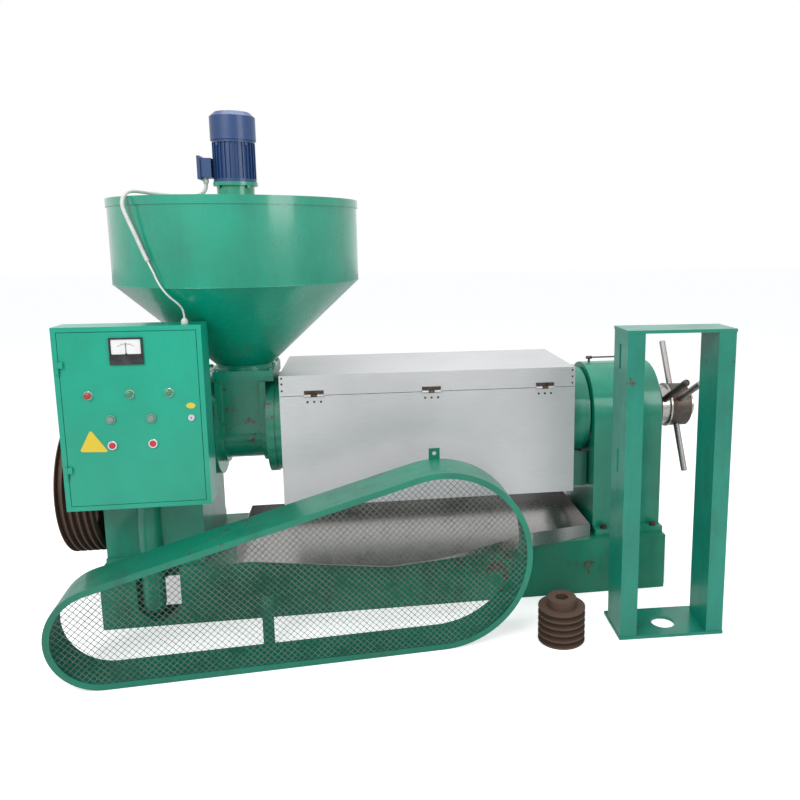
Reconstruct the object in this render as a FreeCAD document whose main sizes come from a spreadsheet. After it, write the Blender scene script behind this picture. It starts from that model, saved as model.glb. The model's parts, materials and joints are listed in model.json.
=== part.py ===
"""Screw oil press with hopper, control cabinet, belt guard and motor frame, in millimetres.

Origin: centre of the base's foundation holes, on the floor. +X runs along the machine from the
drive pulley to the adjusting nut, +Y to the back, +Z up.
"""
import FreeCAD
import Part
import Sketcher
import math
import os
import re

Vector = FreeCAD.Vector
Rotation = FreeCAD.Rotation

DIMENSIONS = {
    # base
    "base_length": 2312, "base_width": 572, "base_height": 240, "base_wall": 12,
    "base_corner": 18, "foot_size": 110, "foot_thick": 20, "foot_hole": 24,
    "foot_spacing_x": 2160, "foot_spacing_y": 440,
    "pocket_x": -940, "pocket_radius": 83, "pocket_depth": 96, "pocket_floor": 19,
    # press axis and gearbox
    "worm_axis_z": 750, "input_axis_z": 530,
    "gearbox_left": -1134, "gearbox_right": -763, "gearbox_width": 480, "gearbox_top": 940,
    "gearbox_wall": 20, "gearbox_foot_thick": 40, "gearbox_foot_width": 512,
    "seat_depth": 15, "seat_wall": 12, "cap_thick": 20, "cap_rim": 12, "lid_thick": 16,
    "column_x": -968, "column_radius": 44, "column_bottom": 42, "column_top": 610,
    "gear_module": 5, "pinion_teeth": 14, "first_gear_teeth": 36, "last_gear_teeth": 52,
    "first_gear_x": -1090, "first_gear_width": 50, "last_gear_x": -1000, "last_gear_width": 80,
    "tooth_backlash": 0.35, "input_radius": 28, "middle_radius": 26, "quill_radius": 58,
    "input_bearing_radius": 50, "middle_bearing_radius": 46, "quill_bearing_radius": 80,
    "running_gap": 0.05, "seat_gap": 0.3,
    # drive pulley
    "pulley_radius": 290, "pulley_width": 128, "pulley_gap": 28, "groove_pitch": 25.5,
    "groove_width": 19, "groove_depth": 18, "groove_floor": 9, "groove_count": 5,
    "pulley_rim": 34, "pulley_web": 26, "pulley_hub": 75, "pulley_hole": 52,
    # feed housing and hopper
    "feed_left": -706, "feed_right": -509, "feed_width": 300, "feed_radius": 148,
    "feed_flange_radius": 213, "feed_flange_right": -446, "feed_top": 947,
    "feed_bore": 80, "throat_radius": 96, "neck_plate": 22, "neck_plate_width": 236,
    "neck_plate_depth": 300, "neck_x": -605,
    "hopper_radius": 479, "hopper_wall": 4, "neck_radius": 113.5, "cone_bottom": 1002,
    "cone_top": 1344, "hopper_top": 1661, "hopper_lid_thick": 5, "hopper_lid_rim": 26,
    "hatch_length": 300, "hatch_width": 220, "hatch_x": -700, "hatch_y": 140,
    # stirring motor
    "stool_radius": 87, "stool_top": 1738, "motor_radius": 76, "motor_top": 1900,
    "fin_count": 28, "fin_height": 7, "fin_thick": 3, "cowl_radius": 88, "cowl_top": 2009,
    "terminal_left": -741, "terminal_bottom": 1748, "terminal_top": 1838, "terminal_depth": 96,
    "stirrer_radius": 20, "arm_radius": 9, "arm_reach": 400,
    # worm shaft and cage
    "shaft_radius": 45, "worm_radius": 76, "cage_bore": 78, "bar_count": 28, "bar_thick": 25,
    "bar_width": 16.4, "cage_right": 762, "rib_radius": 150, "rib_thick": 26, "rib_count": 8,
    "cage_flange_width": 40, "cage_flange_thick": 24,
    "bolt_radius": 8, "key_size": 14,
    # discharge end
    "disc_right": 842, "disc_radius": 199, "disc_step": 26, "disc_step_radius": 186,
    "cake_ring_width": 30, "cake_gap": 6, "window_width": 220, "chute_wall": 4,
    "pedestal_left": 852, "pedestal_right": 1154, "pedestal_width": 424, "cap_radius": 210,
    "pedestal_foot_thick": 28, "pedestal_foot_width": 510, "sleeve_radius": 95,
    "adjust_flange_radius": 148, "adjust_flange_thick": 34, "screw_radius": 80,
    "screw_travel": 6, "collar_left": 1204, "collar_radius": 88, "collar_width": 42,
    "lock_ring_radius": 99, "hub_left": 1256, "hub_width": 92, "hub_radius": 96,
    "screw_tail_radius": 60, "screw_tail": 1372,
    "handle_x": 1294, "handle_radius": 14, "handle_reach": 310, "handle_angle": 28.5,
    "handle_root": 62, "lock_bar_x": 1222, "lock_bar_radius": 15, "lock_bar_reach": 335,
    # cover and tray
    "cover_left": -446, "cover_right": 749, "cover_width": 512, "cover_bottom": 451,
    "cover_top": 985, "cover_sheet": 3, "cover_seam": 904, "seam_gap": 2,
    "hinge_length": 76, "hinge_radius": 5, "hinge_pin": 2.5, "hinge_leaf": 20,
    "hinge_leaf_thick": 2, "tray_sheet": 2.5, "tray_lip": 60, "tray_back": 215,
    # cabinet
    "cabinet_left": -1185, "cabinet_width": 500, "cabinet_bottom": 551.5,
    "cabinet_height": 663.5, "cabinet_front": -456, "cabinet_depth": 118,
    "cabinet_sheet": 3, "cabinet_frame": 17, "door_gap": 2, "door_thick": 3, "door_knuckle": 6,
    "meter_width": 112, "meter_height": 95, "meter_depth": 8, "lamp_radius": 15,
    "lamp_depth": 12, "button_radius": 11, "button_collar": 15, "button_out": 9,
    "button_travel": 4,
    # belt guard, motor frame, motor sheave
    "guard_x": -1017.7, "guard_y": -709, "guard_turn": 3.36, "guard_length": 1168,
    "guard_big": 341, "guard_small": 185, "guard_depth": 185, "guard_sheet": 3,
    "guard_lip": 22, "mesh_thick": 2,
    "stand_x": 815, "stand_y": -679, "stand_turn": -2.35, "stand_height": 1184,
    "stand_width": 405, "channel_depth": 160, "channel_flange": 65, "channel_thick": 8,
    "stand_plate": 12, "stand_foot_depth": 205, "stand_hole": 46,
    "slot_length": 92, "slot_width": 22,
    "sheave_x": 600, "sheave_y": -626, "sheave_radius": 89, "sheave_width": 134,
    "sheave_hub": 55, "sheave_hub_rise": 33, "sheave_bore": 24,
    # cable
    "cable_radius": 3.4, "cable_sleeve_radius": 7,
}

doc = FreeCAD.newDocument("ScrewOilPress")
sheet = doc.addObject("Spreadsheet::Sheet", "Dims")
for row, (alias, value) in enumerate(DIMENSIONS.items(), 1):
    sheet.set(f"A{row}", alias)
    sheet.set(f"B{row}", str(value))
    sheet.setAlias(f"B{row}", alias)
doc.recompute()

ALIAS = re.compile(r"\b(" + "|".join(DIMENSIONS) + r")\b")
AXES = {"X": Rotation(Vector(0, 1, 0), 90), "Y": Rotation(Vector(1, 0, 0), -90), "Z": Rotation()}
PIECES = []
FLIGHT_STEPS = 16


# ---------------------------------------------------------------- building blocks

def linked(text):
    """The expression with each dimension's name pointing at its cell."""
    return ALIAS.sub(r"Dims.\1", str(text))


def size(text):
    """The value of an expression of dimensions."""
    return float(sheet.evalExpression(str(text)))


def bind(piece, prop, text):
    """Ties a property of a piece to an expression of dimensions."""
    piece.setExpression(prop, linked(text))


def place(piece, x="0", y="0", z="0", turn=None):
    """Puts a piece at a bound position, turned first if a rotation is given."""
    if turn is not None:
        piece.Placement = FreeCAD.Placement(Vector(), turn)
    for axis, text in zip("xyz", (x, y, z)):
        bind(piece, f"Placement.Base.{axis}", text)
    return piece


def keep(piece):
    """Marks a piece for export under its label."""
    PIECES.append(piece)
    return piece


def box(label, x, y, z):
    """A block between bound low and high limits along each axis."""
    piece = doc.addObject("Part::Box", label)
    for prop, (low, high) in zip(("Length", "Width", "Height"), (x, y, z)):
        bind(piece, prop, f"({high}) - ({low})")
    return place(piece, x[0], y[0], z[0])


def rod(label, radius, height, x="0", y="0", z="0", axis="Z"):
    """A cylinder from a bound start point along +X, +Y or +Z."""
    piece = doc.addObject("Part::Cylinder", label)
    bind(piece, "Radius", radius)
    bind(piece, "Height", height)
    return place(piece, x, y, z, AXES[axis])


def leaning_rod(label, radius, height, x, y, z, direction):
    """A cylinder from a bound start point along any direction."""
    piece = doc.addObject("Part::Cylinder", label)
    bind(piece, "Radius", radius)
    bind(piece, "Height", height)
    return place(piece, x, y, z, Rotation(Vector(0, 0, 1), direction))


def joined(label, *parts, refine=True):
    """One solid made of overlapping or touching parts."""
    piece = doc.addObject("Part::MultiFuse", label)
    piece.Shapes = list(parts)
    piece.Refine = refine
    return piece


def fused(label, base, tool):
    """Two parts made into one."""
    piece = doc.addObject("Part::Fuse", label)
    piece.Base = base
    piece.Tool = tool
    return piece


def group(label, *parts):
    """Separate solids that share one node."""
    piece = doc.addObject("Part::Compound", label)
    piece.Links = list(parts)
    return piece


def cut(label, base, *tools):
    """A base with tools taken away."""
    piece = doc.addObject("Part::Cut", label)
    piece.Base = base
    piece.Tool = tools[0] if len(tools) == 1 else joined(label + "Tools", *tools)
    return piece


def overlap(label, base, tool):
    """What two solids share."""
    piece = doc.addObject("Part::Common", label)
    piece.Base = base
    piece.Tool = tool
    return piece


def outline_sketch(body, name, role, corners):
    """A closed sketch of straight edges whose corners are bound pairs of expressions."""
    sketch = body.newObject("Sketcher::SketchObject", name)
    plane = [item for item in body.Origin.OriginFeatures if item.Role == role][0]
    sketch.AttachmentSupport = (plane, [""])
    sketch.MapMode = "FlatFace"
    points = [Vector(size(a), size(b), 0) for a, b in corners]
    count = len(points)
    for index, start in enumerate(points):
        sketch.addGeometry(Part.LineSegment(start, points[(index + 1) % count]))
    for index in range(count):
        sketch.addConstraint(Sketcher.Constraint("Coincident", index, 2, (index + 1) % count, 1))
    for index, (corner, point) in enumerate(zip(corners, points)):
        for kind, text, value in zip(("DistanceX", "DistanceY"), corner, (point.x, point.y)):
            item = sketch.addConstraint(Sketcher.Constraint(kind, -1, 1, index, 1, value))
            sketch.setExpression(f"Constraints[{item}]", linked(text))
    return sketch


def turned(label, corners, axis="X", x="0", y="0", z="0"):
    """A revolved body: corners are (along, radius) pairs, the axis runs along +X or +Z."""
    body = doc.addObject("PartDesign::Body", label)
    pairs = corners if axis == "X" else [(radius, along) for along, radius in corners]
    sketch = outline_sketch(body, label + "Outline", "XZ_Plane", pairs)
    turning = body.newObject("PartDesign::Revolution", label + "Turning")
    turning.Profile = sketch
    turning.ReferenceAxis = (sketch, ["H_Axis" if axis == "X" else "V_Axis"])
    turning.Angle = 360
    return place(body, x, y, z)


def padded(label, corners, length, role="XY_Plane", x="0", y="0", z="0", reverse=False):
    """A padded body: the outline lies in an origin plane and grows along its normal."""
    body = doc.addObject("PartDesign::Body", label)
    sketch = outline_sketch(body, label + "Outline", role, corners)
    pad = body.newObject("PartDesign::Pad", label + "Pad")
    pad.Profile = sketch
    pad.Reversed = reverse
    bind(pad, "Length", length)
    return place(body, x, y, z)


def rectangle(x, y):
    """Corners of a rectangle between bound limits."""
    return [(x[0], y[0]), (x[1], y[0]), (x[1], y[1]), (x[0], y[1])]


def solid_feature(label, shape):
    """A piece whose shape comes from Part's own functions."""
    piece = doc.addObject("Part::Feature", label)
    piece.Shape = shape
    return piece


# ---------------------------------------------------------------- base

def base_frame():
    """Welded box with foundation feet inside, end windows and a rounded drain pocket in front."""
    half_x, half_y = "base_length / 2", "base_width / 2"
    shell = box("BaseShell", (f"-{half_x}", half_x), (f"-{half_y}", half_y), ("0", "base_height"))
    hollow = box(
        "BaseHollow", (f"-{half_x} + base_wall", f"{half_x} - base_wall"),
        (f"-{half_y} + base_wall", f"{half_y} - base_wall"), ("-1", "base_height - base_wall"))
    corner = cut(
        "CornerSliver",
        box("CornerBlock", (f"{half_x} - base_corner", f"{half_x} + 1"), (f"-{half_y} - 1", f"{half_y} + 1"),
            ("-1", "base_corner")),
        rod("CornerRound", "base_corner", "base_width + 4", f"{half_x} - base_corner", f"-{half_y} - 2",
            "base_corner", "Y"))
    pocket_back = f"-{half_y} + pocket_depth"
    pieces = [
        cut("BaseBox", shell, hollow, corner),
        box("PocketBlock", ("pocket_x - pocket_radius - base_wall", "pocket_x + pocket_radius + base_wall"),
            (f"-{half_y}", f"{pocket_back} + base_wall"), ("0", "base_height"))]
    removed = [
        rod("PocketRound", "pocket_radius", "pocket_depth + 1", "pocket_x", f"-{half_y} - 1",
            "pocket_floor + pocket_radius", "Y"),
        box("PocketSlot", ("pocket_x - pocket_radius", "pocket_x + pocket_radius"),
            (f"-{half_y} - 1", pocket_back), ("pocket_floor + pocket_radius", "base_height + 1")),
        box("EndWindows", (f"-{half_x} - 1", f"{half_x} + 1"), ("-190", "190"), ("35", "165"))]
    for i, side_x in enumerate(("-1", "1")):
        for j, side_y in enumerate(("-1", "1")):
            x, y = f"{side_x} * foot_spacing_x / 2", f"{side_y} * foot_spacing_y / 2"
            limits_x = sorted((f"{x} - {side_x} * foot_size / 2", f"{side_x} * ({half_x} - 1)"), key=size)
            limits_y = sorted((f"{y} - {side_y} * foot_size / 2", f"{side_y} * ({half_y} - 1)"), key=size)
            pieces.append(box(f"Foot{i}{j}", limits_x, limits_y, ("0", "foot_thick")))
            removed.append(rod(f"FootHole{i}{j}", "foot_hole / 2", "foot_thick + 2", x, y, "-1"))
    return keep(cut("base_frame", joined("BaseWelded", *pieces), *removed))


# ---------------------------------------------------------------- gearbox

def middle_axis():
    """Position (y, z) of the intermediate shaft, from the two centre distances."""
    first = size("gear_module * (pinion_teeth + first_gear_teeth) / 2")
    second = size("gear_module * (pinion_teeth + last_gear_teeth) / 2")
    rise = size("worm_axis_z - input_axis_z")
    up = (first ** 2 - second ** 2 + rise ** 2) / (2 * rise)
    return math.sqrt(first ** 2 - up ** 2), size("input_axis_z") + up


MIDDLE_Y, MIDDLE_Z = (str(value) for value in middle_axis())
SHAFT_LINES = (
    ("Input", "0", "input_axis_z", "input_bearing_radius", "input_radius"),
    ("Middle", MIDDLE_Y, MIDDLE_Z, "middle_bearing_radius", "middle_radius"),
    ("Quill", "0", "worm_axis_z", "quill_bearing_radius", "quill_radius"),
)


def gearbox_housing():
    """Cast box open at the top, with bearing seats in both end walls and a foot flange."""
    half = "gearbox_width / 2"
    inner_low, inner_high = "gearbox_left + gearbox_wall", "gearbox_right - gearbox_wall"
    solids = [
        box("GearboxBlock", ("gearbox_left", "gearbox_right"), (f"-{half}", half),
            ("base_height", "gearbox_top")),
        box("GearboxFoot", ("gearbox_left", "gearbox_right"),
            ("-gearbox_foot_width / 2", "gearbox_foot_width / 2"),
            ("base_height", "base_height + gearbox_foot_thick")),
    ]
    hollow = box(
        "GearboxHollow", (inner_low, inner_high),
        (f"-{half} + gearbox_wall", f"{half} - gearbox_wall"),
        ("base_height + gearbox_wall", "gearbox_top + 1"))
    shell = cut("GearboxShell", joined("GearboxCast", *solids), hollow)
    seats, bores = [], []
    for name, y, z, bearing, _ in SHAFT_LINES:
        for side, start in (("Left", inner_low), ("Right", f"{inner_high} - seat_depth")):
            seats.append(rod(f"{name}{side}Seat", f"{bearing} + seat_wall", "seat_depth",
                             start, y, z, "X"))
        bores.append(rod(f"{name}Bore", bearing, "gearbox_right - gearbox_left + 2",
                         "gearbox_left - 1", y, z, "X"))
    column = rod("ColumnBarrel", "column_radius", "column_top - column_bottom - column_radius",
                 "column_x", f"-{half} - 5", "column_bottom + column_radius")
    dome = doc.addObject("Part::Sphere", "ColumnDome")
    bind(dome, "Radius", "column_radius")
    place(dome, "column_x", f"-{half} - 5", "column_bottom + column_radius")
    column_hollow = box("ColumnTrim", (inner_low, inner_high),
                        (f"-{half} + gearbox_wall", f"{half} - gearbox_wall"),
                        ("base_height + gearbox_wall", "gearbox_top"))
    column_shape = cut("Column", joined("ColumnWhole", column, dome), column_hollow)
    seated = cut("GearboxSeated", joined("GearboxSeats", shell, *seats), *bores)
    return keep(fused("gearbox_housing", seated, column_shape))


def gearbox_top_cover():
    """Bolted cover plate with a raised inspection lid and a breather."""
    half = "gearbox_width / 2"
    plate = box("LidPlate", ("gearbox_left", "gearbox_right"), (f"-{half}", half),
                ("gearbox_top", "gearbox_top + lid_thick"))
    raised = box("LidRaised", ("gearbox_left + 90", "gearbox_right - 90"),
                 (f"-{half} + 110", f"{half} - 110"),
                 ("gearbox_top", "gearbox_top + 2 * lid_thick"))
    breather = rod("Breather", "14", "36", "gearbox_left + 60", "0", "gearbox_top")
    bolts = [
        rod(f"LidBolt{i}{j}", "9", "lid_thick + 8", f"gearbox_left + 20 + {i} * 165",
            f"{side} * ({half} - 18)", "gearbox_top")
        for i in range(3) for j, side in enumerate(("-1", "1"))]
    return keep(joined("gearbox_top_cover", plate, raised, breather, *bolts))


def bearing_caps():
    """Bolted caps over the bearing seats; the input and quill caps are open rings."""
    caps = []
    for name, y, z, bearing, shaft in SHAFT_LINES:
        outer = f"{bearing} + cap_rim"
        open_sides = {"Input": ("Left",), "Middle": (), "Quill": ("Right",)}[name]
        for side, start in (("Left", "gearbox_left - cap_thick"), ("Right", "gearbox_right")):
            bore = f"{shaft} + 1.5"
            if side in open_sides:
                corners = [("0", bore), ("cap_thick", bore), ("cap_thick", outer), ("0", outer)]
            else:
                corners = [("0", "0"), ("cap_thick", "0"), ("cap_thick", outer), ("0", outer)]
            caps.append(turned(f"{name}{side}Cap", corners, "X", start, y, z))
    return keep(group("bearing_caps", *caps))


def gearbox_bearings():
    """Bearings in the end walls, each a plain ring that stands for a rolling bearing."""
    rings = []
    length = "gearbox_wall + seat_depth - 2"
    for name, y, z, bearing, shaft in SHAFT_LINES:
        for side, start in (("Left", "gearbox_left + 1"),
                            ("Right", "gearbox_right - gearbox_wall - seat_depth + 1")):
            corners = [
                ("0", f"{shaft} + running_gap"), (length, f"{shaft} + running_gap"),
                (length, f"{bearing} - running_gap"), ("0", f"{bearing} - running_gap")]
            rings.append(turned(f"{name}{side}Bearing", corners, "X", start, y, z))
    return keep(group("gearbox_bearings", *rings))


def involute_point(base_radius, radius):
    """Polar angle at which an involute of the base circle reaches a radius."""
    ratio = math.sqrt(max((radius / base_radius) ** 2 - 1, 0))
    return ratio - math.atan(ratio)


def gear_blank(teeth, start, width, bore, phase):
    """Spur gear along +X from a start: stub involute teeth, 25 degree pressure angle."""
    module = size("gear_module")
    pitch_radius = module * teeth / 2
    base_radius = pitch_radius * math.cos(math.radians(25))
    tip_radius = pitch_radius + 0.8 * module
    root_radius = pitch_radius - 1.05 * module
    low_radius = max(base_radius, root_radius + 0.2 * module)
    half_tooth = (math.pi / 2 * module - size("tooth_backlash")) / (2 * pitch_radius)
    half_base = half_tooth + involute_point(base_radius, pitch_radius)
    flank = []
    for step in range(3):
        radius = low_radius + (tip_radius - low_radius) * step / 2
        flank.append((radius, half_base - involute_point(base_radius, radius)))
    points = []
    for tooth in range(teeth):
        centre = phase + tooth * 2 * math.pi / teeth
        side = [(root_radius, min(flank[0][1] + 0.02, 0.96 * math.pi / teeth))] + flank
        polar = [(radius, centre - angle) for radius, angle in side]
        polar += [(radius, centre + angle) for radius, angle in reversed(side)]
        points += [Vector(start, r * math.cos(a), r * math.sin(a)) for r, a in polar]
    wire = Part.makePolygon(points + points[:1])
    blank = Part.Face(wire).extrude(Vector(width, 0, 0))
    if bore:
        blank = blank.cut(Part.makeCylinder(bore, width, Vector(start, 0, 0), Vector(1, 0, 0)))
    return blank


def meshed_phase(from_teeth, from_phase, to_teeth, line_angle):
    """Phase of a gear whose tooth gap meets the other gear's tooth on the line of centres."""
    pitch = math.pi * size("gear_module")
    from_radius = size("gear_module") * from_teeth / 2
    to_radius = size("gear_module") * to_teeth / 2
    return line_angle + math.pi + (pitch / 2 - from_radius * (from_phase - line_angle)) / to_radius


def gear_train():
    """Input pinion shaft, intermediate shaft with its gear, and output gear with its quill."""
    pinion = int(size("pinion_teeth"))
    first, last = int(size("first_gear_teeth")), int(size("last_gear_teeth"))
    y, z = middle_axis()
    low = math.atan2(z - size("input_axis_z"), y)
    high = math.atan2(size("worm_axis_z") - z, -y)
    first_phase = meshed_phase(pinion, 0.0, first, low)
    last_phase = meshed_phase(pinion, 0.0, last, high)
    left, right = size("gearbox_left"), size("gearbox_right")

    def shaft(radius, start, end):
        return Part.makeCylinder(radius, end - start, Vector(start, 0, 0), Vector(1, 0, 0))

    width, start = size("first_gear_width"), size("first_gear_x")
    input_pinion = gear_blank(pinion, start - 3, width + 6, 0, 0.0)
    pulley_end = left - size("pulley_gap") - size("pulley_width") - 18
    shape = shaft(size("input_radius"), pulley_end, right - 2).fuse(input_pinion).removeSplitter()
    keep(place(solid_feature("input_shaft", shape), "0", "0", "input_axis_z"))

    long_width, long_start = size("last_gear_width"), size("last_gear_x")
    pinion_shape = gear_blank(pinion, long_start - 3, long_width + 6, 0, 0.0)
    spindle = shaft(size("middle_radius"), left + 2, right - 2).fuse(pinion_shape).removeSplitter()
    wheel = gear_blank(first, start, width, size("middle_radius + running_gap"), first_phase)
    keep(group(
        "intermediate_gears",
        place(solid_feature("MiddleSpindle", spindle), "0", MIDDLE_Y, MIDDLE_Z),
        place(solid_feature("MiddleWheel", wheel), "0", MIDDLE_Y, MIDDLE_Z)))

    quill_end = right + size("cap_thick") - 4
    key = size("key_size") + 0.4
    quill = shaft(size("quill_radius"), left + 2, quill_end)
    bore = shaft(size("shaft_radius + running_gap"), left, quill_end + 1)
    slot = Part.makeBox(long_width + 20, key, size("shaft_radius") + key / 2,
                        Vector(long_start - 10, -key / 2, 0))
    sleeve = quill.cut(bore).cut(slot)
    wheel = gear_blank(last, long_start, long_width, size("quill_radius"), last_phase)
    return keep(place(solid_feature("output_gear", wheel.fuse(sleeve)), "0", "0", "worm_axis_z"))


def drive_pulley():
    """Five-groove V-belt pulley: grooved rim, holed web and keyed hub."""
    half = "pulley_width / 2"
    rim_floor = "pulley_radius - pulley_rim"
    corners = [
        ("-pulley_web / 2", "input_radius + running_gap"), ("pulley_web / 2 + 20", "input_radius + running_gap"),
        ("pulley_web / 2 + 20", "pulley_hub"), ("pulley_web / 2", "pulley_hub"),
        ("pulley_web / 2", rim_floor), (half, rim_floor), (half, "pulley_radius")]
    count = int(size("groove_count"))
    for index in reversed(range(count)):
        centre = f"({index} - (groove_count - 1) / 2) * groove_pitch"
        corners += [
            (f"{centre} + groove_width / 2", "pulley_radius"),
            (f"{centre} + groove_floor / 2", "pulley_radius - groove_depth"),
            (f"{centre} - groove_floor / 2", "pulley_radius - groove_depth"),
            (f"{centre} - groove_width / 2", "pulley_radius")]
    corners += [
        (f"-{half}", "pulley_radius"), (f"-{half}", rim_floor),
        ("-pulley_web / 2", rim_floor), ]
    centre_x = "gearbox_left - pulley_gap - pulley_width / 2"
    wheel = turned("PulleyWheel", corners, "X", centre_x, "0", "input_axis_z")
    holes = []
    for index in range(4):
        angle = f"({index} * 90 + 45) * 1 deg"
        middle = "(pulley_radius - pulley_rim + pulley_hub) / 2"
        holes.append(rod(
            f"WebHole{index}", "pulley_hole", "pulley_web + 60", f"{centre_x} - pulley_web / 2 - 5",
            f"{middle} * cos({angle})", f"input_axis_z + {middle} * sin({angle})", "X"))
    return keep(cut("drive_pulley", wheel, *holes))


# ---------------------------------------------------------------- feed housing and hopper

def feed_housing():
    """Cast feed housing: two round flanges, a rounded chamber and a throat at the top."""
    left_flange = rod("FeedLeftFlange", "feed_flange_radius", "feed_left - gearbox_right",
                      "gearbox_right", "0", "worm_axis_z", "X")
    middle = "(feed_flange_right - feed_right) / 2"
    right_flange = rod("FeedRightFlange", "feed_flange_radius", middle, "feed_right", "0",
                       "worm_axis_z", "X")
    outer_flange = rod("FeedOuterFlange", "feed_flange_radius - 6", middle,
                       f"feed_right + {middle}", "0", "worm_axis_z", "X")
    barrel = rod("FeedBarrel", "feed_radius", "feed_right - feed_left", "feed_left", "0",
                 "worm_axis_z", "X")
    upper = box("FeedUpper", ("feed_left", "feed_right"), ("-feed_radius", "feed_radius"),
                ("worm_axis_z", "feed_top"))
    edges = []
    for name, start in (("Left", "feed_left"), ("Right", "feed_right - 24")):
        edges.append(rod(f"Feed{name}Rib", "feed_radius + 16", "24", start, "0", "worm_axis_z", "X"))
        edges.append(box(f"Feed{name}Post", (start, f"{start} + 24"),
                         ("-feed_radius - 16", "feed_radius + 16"), ("worm_axis_z", "feed_top")))
    plate = box("FeedTopPlate", ("neck_x - neck_plate_width / 2 + 10", "neck_x + neck_plate_width / 2 + 10"),
                ("-neck_plate_depth / 2", "neck_plate_depth / 2"), ("feed_top", "feed_top + neck_plate"))
    recesses = [
        rod(f"Feed{name}Recess", f"{bearing} + cap_rim + seat_gap", "cap_thick + seat_gap",
            "gearbox_right", y, z, "X")
        for name, y, z, bearing, _ in SHAFT_LINES]
    shaft_bore = rod("FeedShaftBore", "shaft_radius + 2", "feed_left - gearbox_right",
                     "gearbox_right", "0", "worm_axis_z", "X")
    chamber = rod("FeedChamber", "feed_bore", "feed_flange_right - feed_left + 1", "feed_left",
                  "0", "worm_axis_z", "X")
    throat = rod("FeedThroat", "feed_bore", "feed_top + neck_plate - worm_axis_z + 1", "neck_x", "0",
                 "worm_axis_z")
    cast = joined("FeedCast", left_flange, right_flange, outer_flange, barrel, upper, plate, *edges)
    return keep(cut("feed_housing", cast, *recesses, shaft_bore, chamber, throat))


def hopper():
    """Hopper shell with a flanged neck, its lid with a rim, and the hinged feed hatch."""
    base = "feed_top + neck_plate"
    shell = turned("HopperShell", [
        (base, "throat_radius - 12"), (base, "neck_radius"), ("cone_bottom", "neck_radius"),
        ("cone_top", "hopper_radius"), ("hopper_top", "hopper_radius"),
        ("hopper_top", "hopper_radius - hopper_wall"),
        ("cone_top + 1", "hopper_radius - hopper_wall"),
        ("cone_bottom + 2", "neck_radius - hopper_wall - 1"),
        (f"{base} + neck_plate", "throat_radius - 12")], "Z", "neck_x")
    plate = box("NeckPlate", ("neck_x - neck_plate_width / 2 + 10", "neck_x + neck_plate_width / 2 + 10"),
                ("-neck_plate_depth / 2", "neck_plate_depth / 2"), (base, f"{base} + neck_plate"))
    opening = rod("NeckOpening", "throat_radius - 12", "2 * neck_plate", "neck_x", "0", f"{base} - 1")
    keep(joined("hopper_shell", shell, cut("NeckFlange", plate, opening)))

    lid = turned("LidDish", [
        ("hopper_top", "0"), ("hopper_top", "hopper_radius + 0.5"),
        ("hopper_top - hopper_lid_rim", "hopper_radius + 0.5"),
        ("hopper_top - hopper_lid_rim", "hopper_radius + 0.5 + hopper_wall"),
        ("hopper_top + hopper_lid_thick", "hopper_radius + 0.5 + hopper_wall"),
        ("hopper_top + hopper_lid_thick", "0")], "Z", "neck_x")
    inner_x = ("hatch_x - hatch_length / 2 + 20", "hatch_x + hatch_length / 2 - 20")
    inner_y = ("hatch_y + 20", "hatch_y + hatch_width - 20")
    opening = box("HatchOpening", inner_x, inner_y, ("hopper_top - 10", "hopper_top + 20"))
    shaft_hole = rod("StirrerHole", "stirrer_radius + 3", "20", "neck_x", "0", "hopper_top - 5")
    top = "hopper_top + hopper_lid_thick"
    knuckles = [
        rod(f"LidKnuckle{i}", "6", "40", f"hatch_x - 110 + {i} * 180", "hatch_y - 8", f"{top} + 6", "X")
        for i in range(2)]
    knuckle_feet = [
        box(f"LidKnuckleFoot{i}", (f"hatch_x - 110 + {i} * 180", f"hatch_x - 70 + {i} * 180"),
            ("hatch_y - 30", "hatch_y - 8"), (f"{top} - 1", f"{top} + 3"))
        for i in range(2)]
    pin_holes = [
        rod(f"LidPinHole{i}", "3.05", "42", f"hatch_x - 111 + {i} * 180", "hatch_y - 8", f"{top} + 6", "X")
        for i in range(2)]
    lid_body = joined("LidBody", cut("LidOpen", lid, opening, shaft_hole), *knuckles, *knuckle_feet)
    keep(cut("hopper_lid", lid_body, *pin_holes))

    plate = box("HatchPlate", ("hatch_x - hatch_length / 2", "hatch_x + hatch_length / 2"),
                ("hatch_y", "hatch_y + hatch_width"), (f"{top} + seat_gap", f"{top} + 4"))
    pin = rod("HatchPin", "3", "220", "hatch_x - 110", "hatch_y - 8", f"{top} + 6", "X")
    arms = [
        box(f"HatchArm{i}", (f"hatch_x - 65 + {i} * 100", f"hatch_x - 35 + {i} * 100"),
            ("hatch_y - 8", "hatch_y + 1"), (f"{top} + 1", f"{top} + 11"))
        for i in range(2)]
    arms += [
        rod(f"HatchKnuckle{i}", "5.2", "30", f"hatch_x - 65 + {i} * 100", "hatch_y - 8", f"{top} + 6", "X")
        for i in range(2)]
    grip = rod("HatchGrip", "6", "90", "hatch_x - 45", "hatch_y + hatch_width - 30", f"{top} + 34", "X")
    posts = [
        rod(f"HatchPost{i}", "5", "31", f"hatch_x - 40 + {i} * 80", "hatch_y + hatch_width - 30",
            f"{top} + 3")
        for i in range(2)]
    return keep(joined("hopper_hatch", plate, pin, grip, *arms, *posts))


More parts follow.
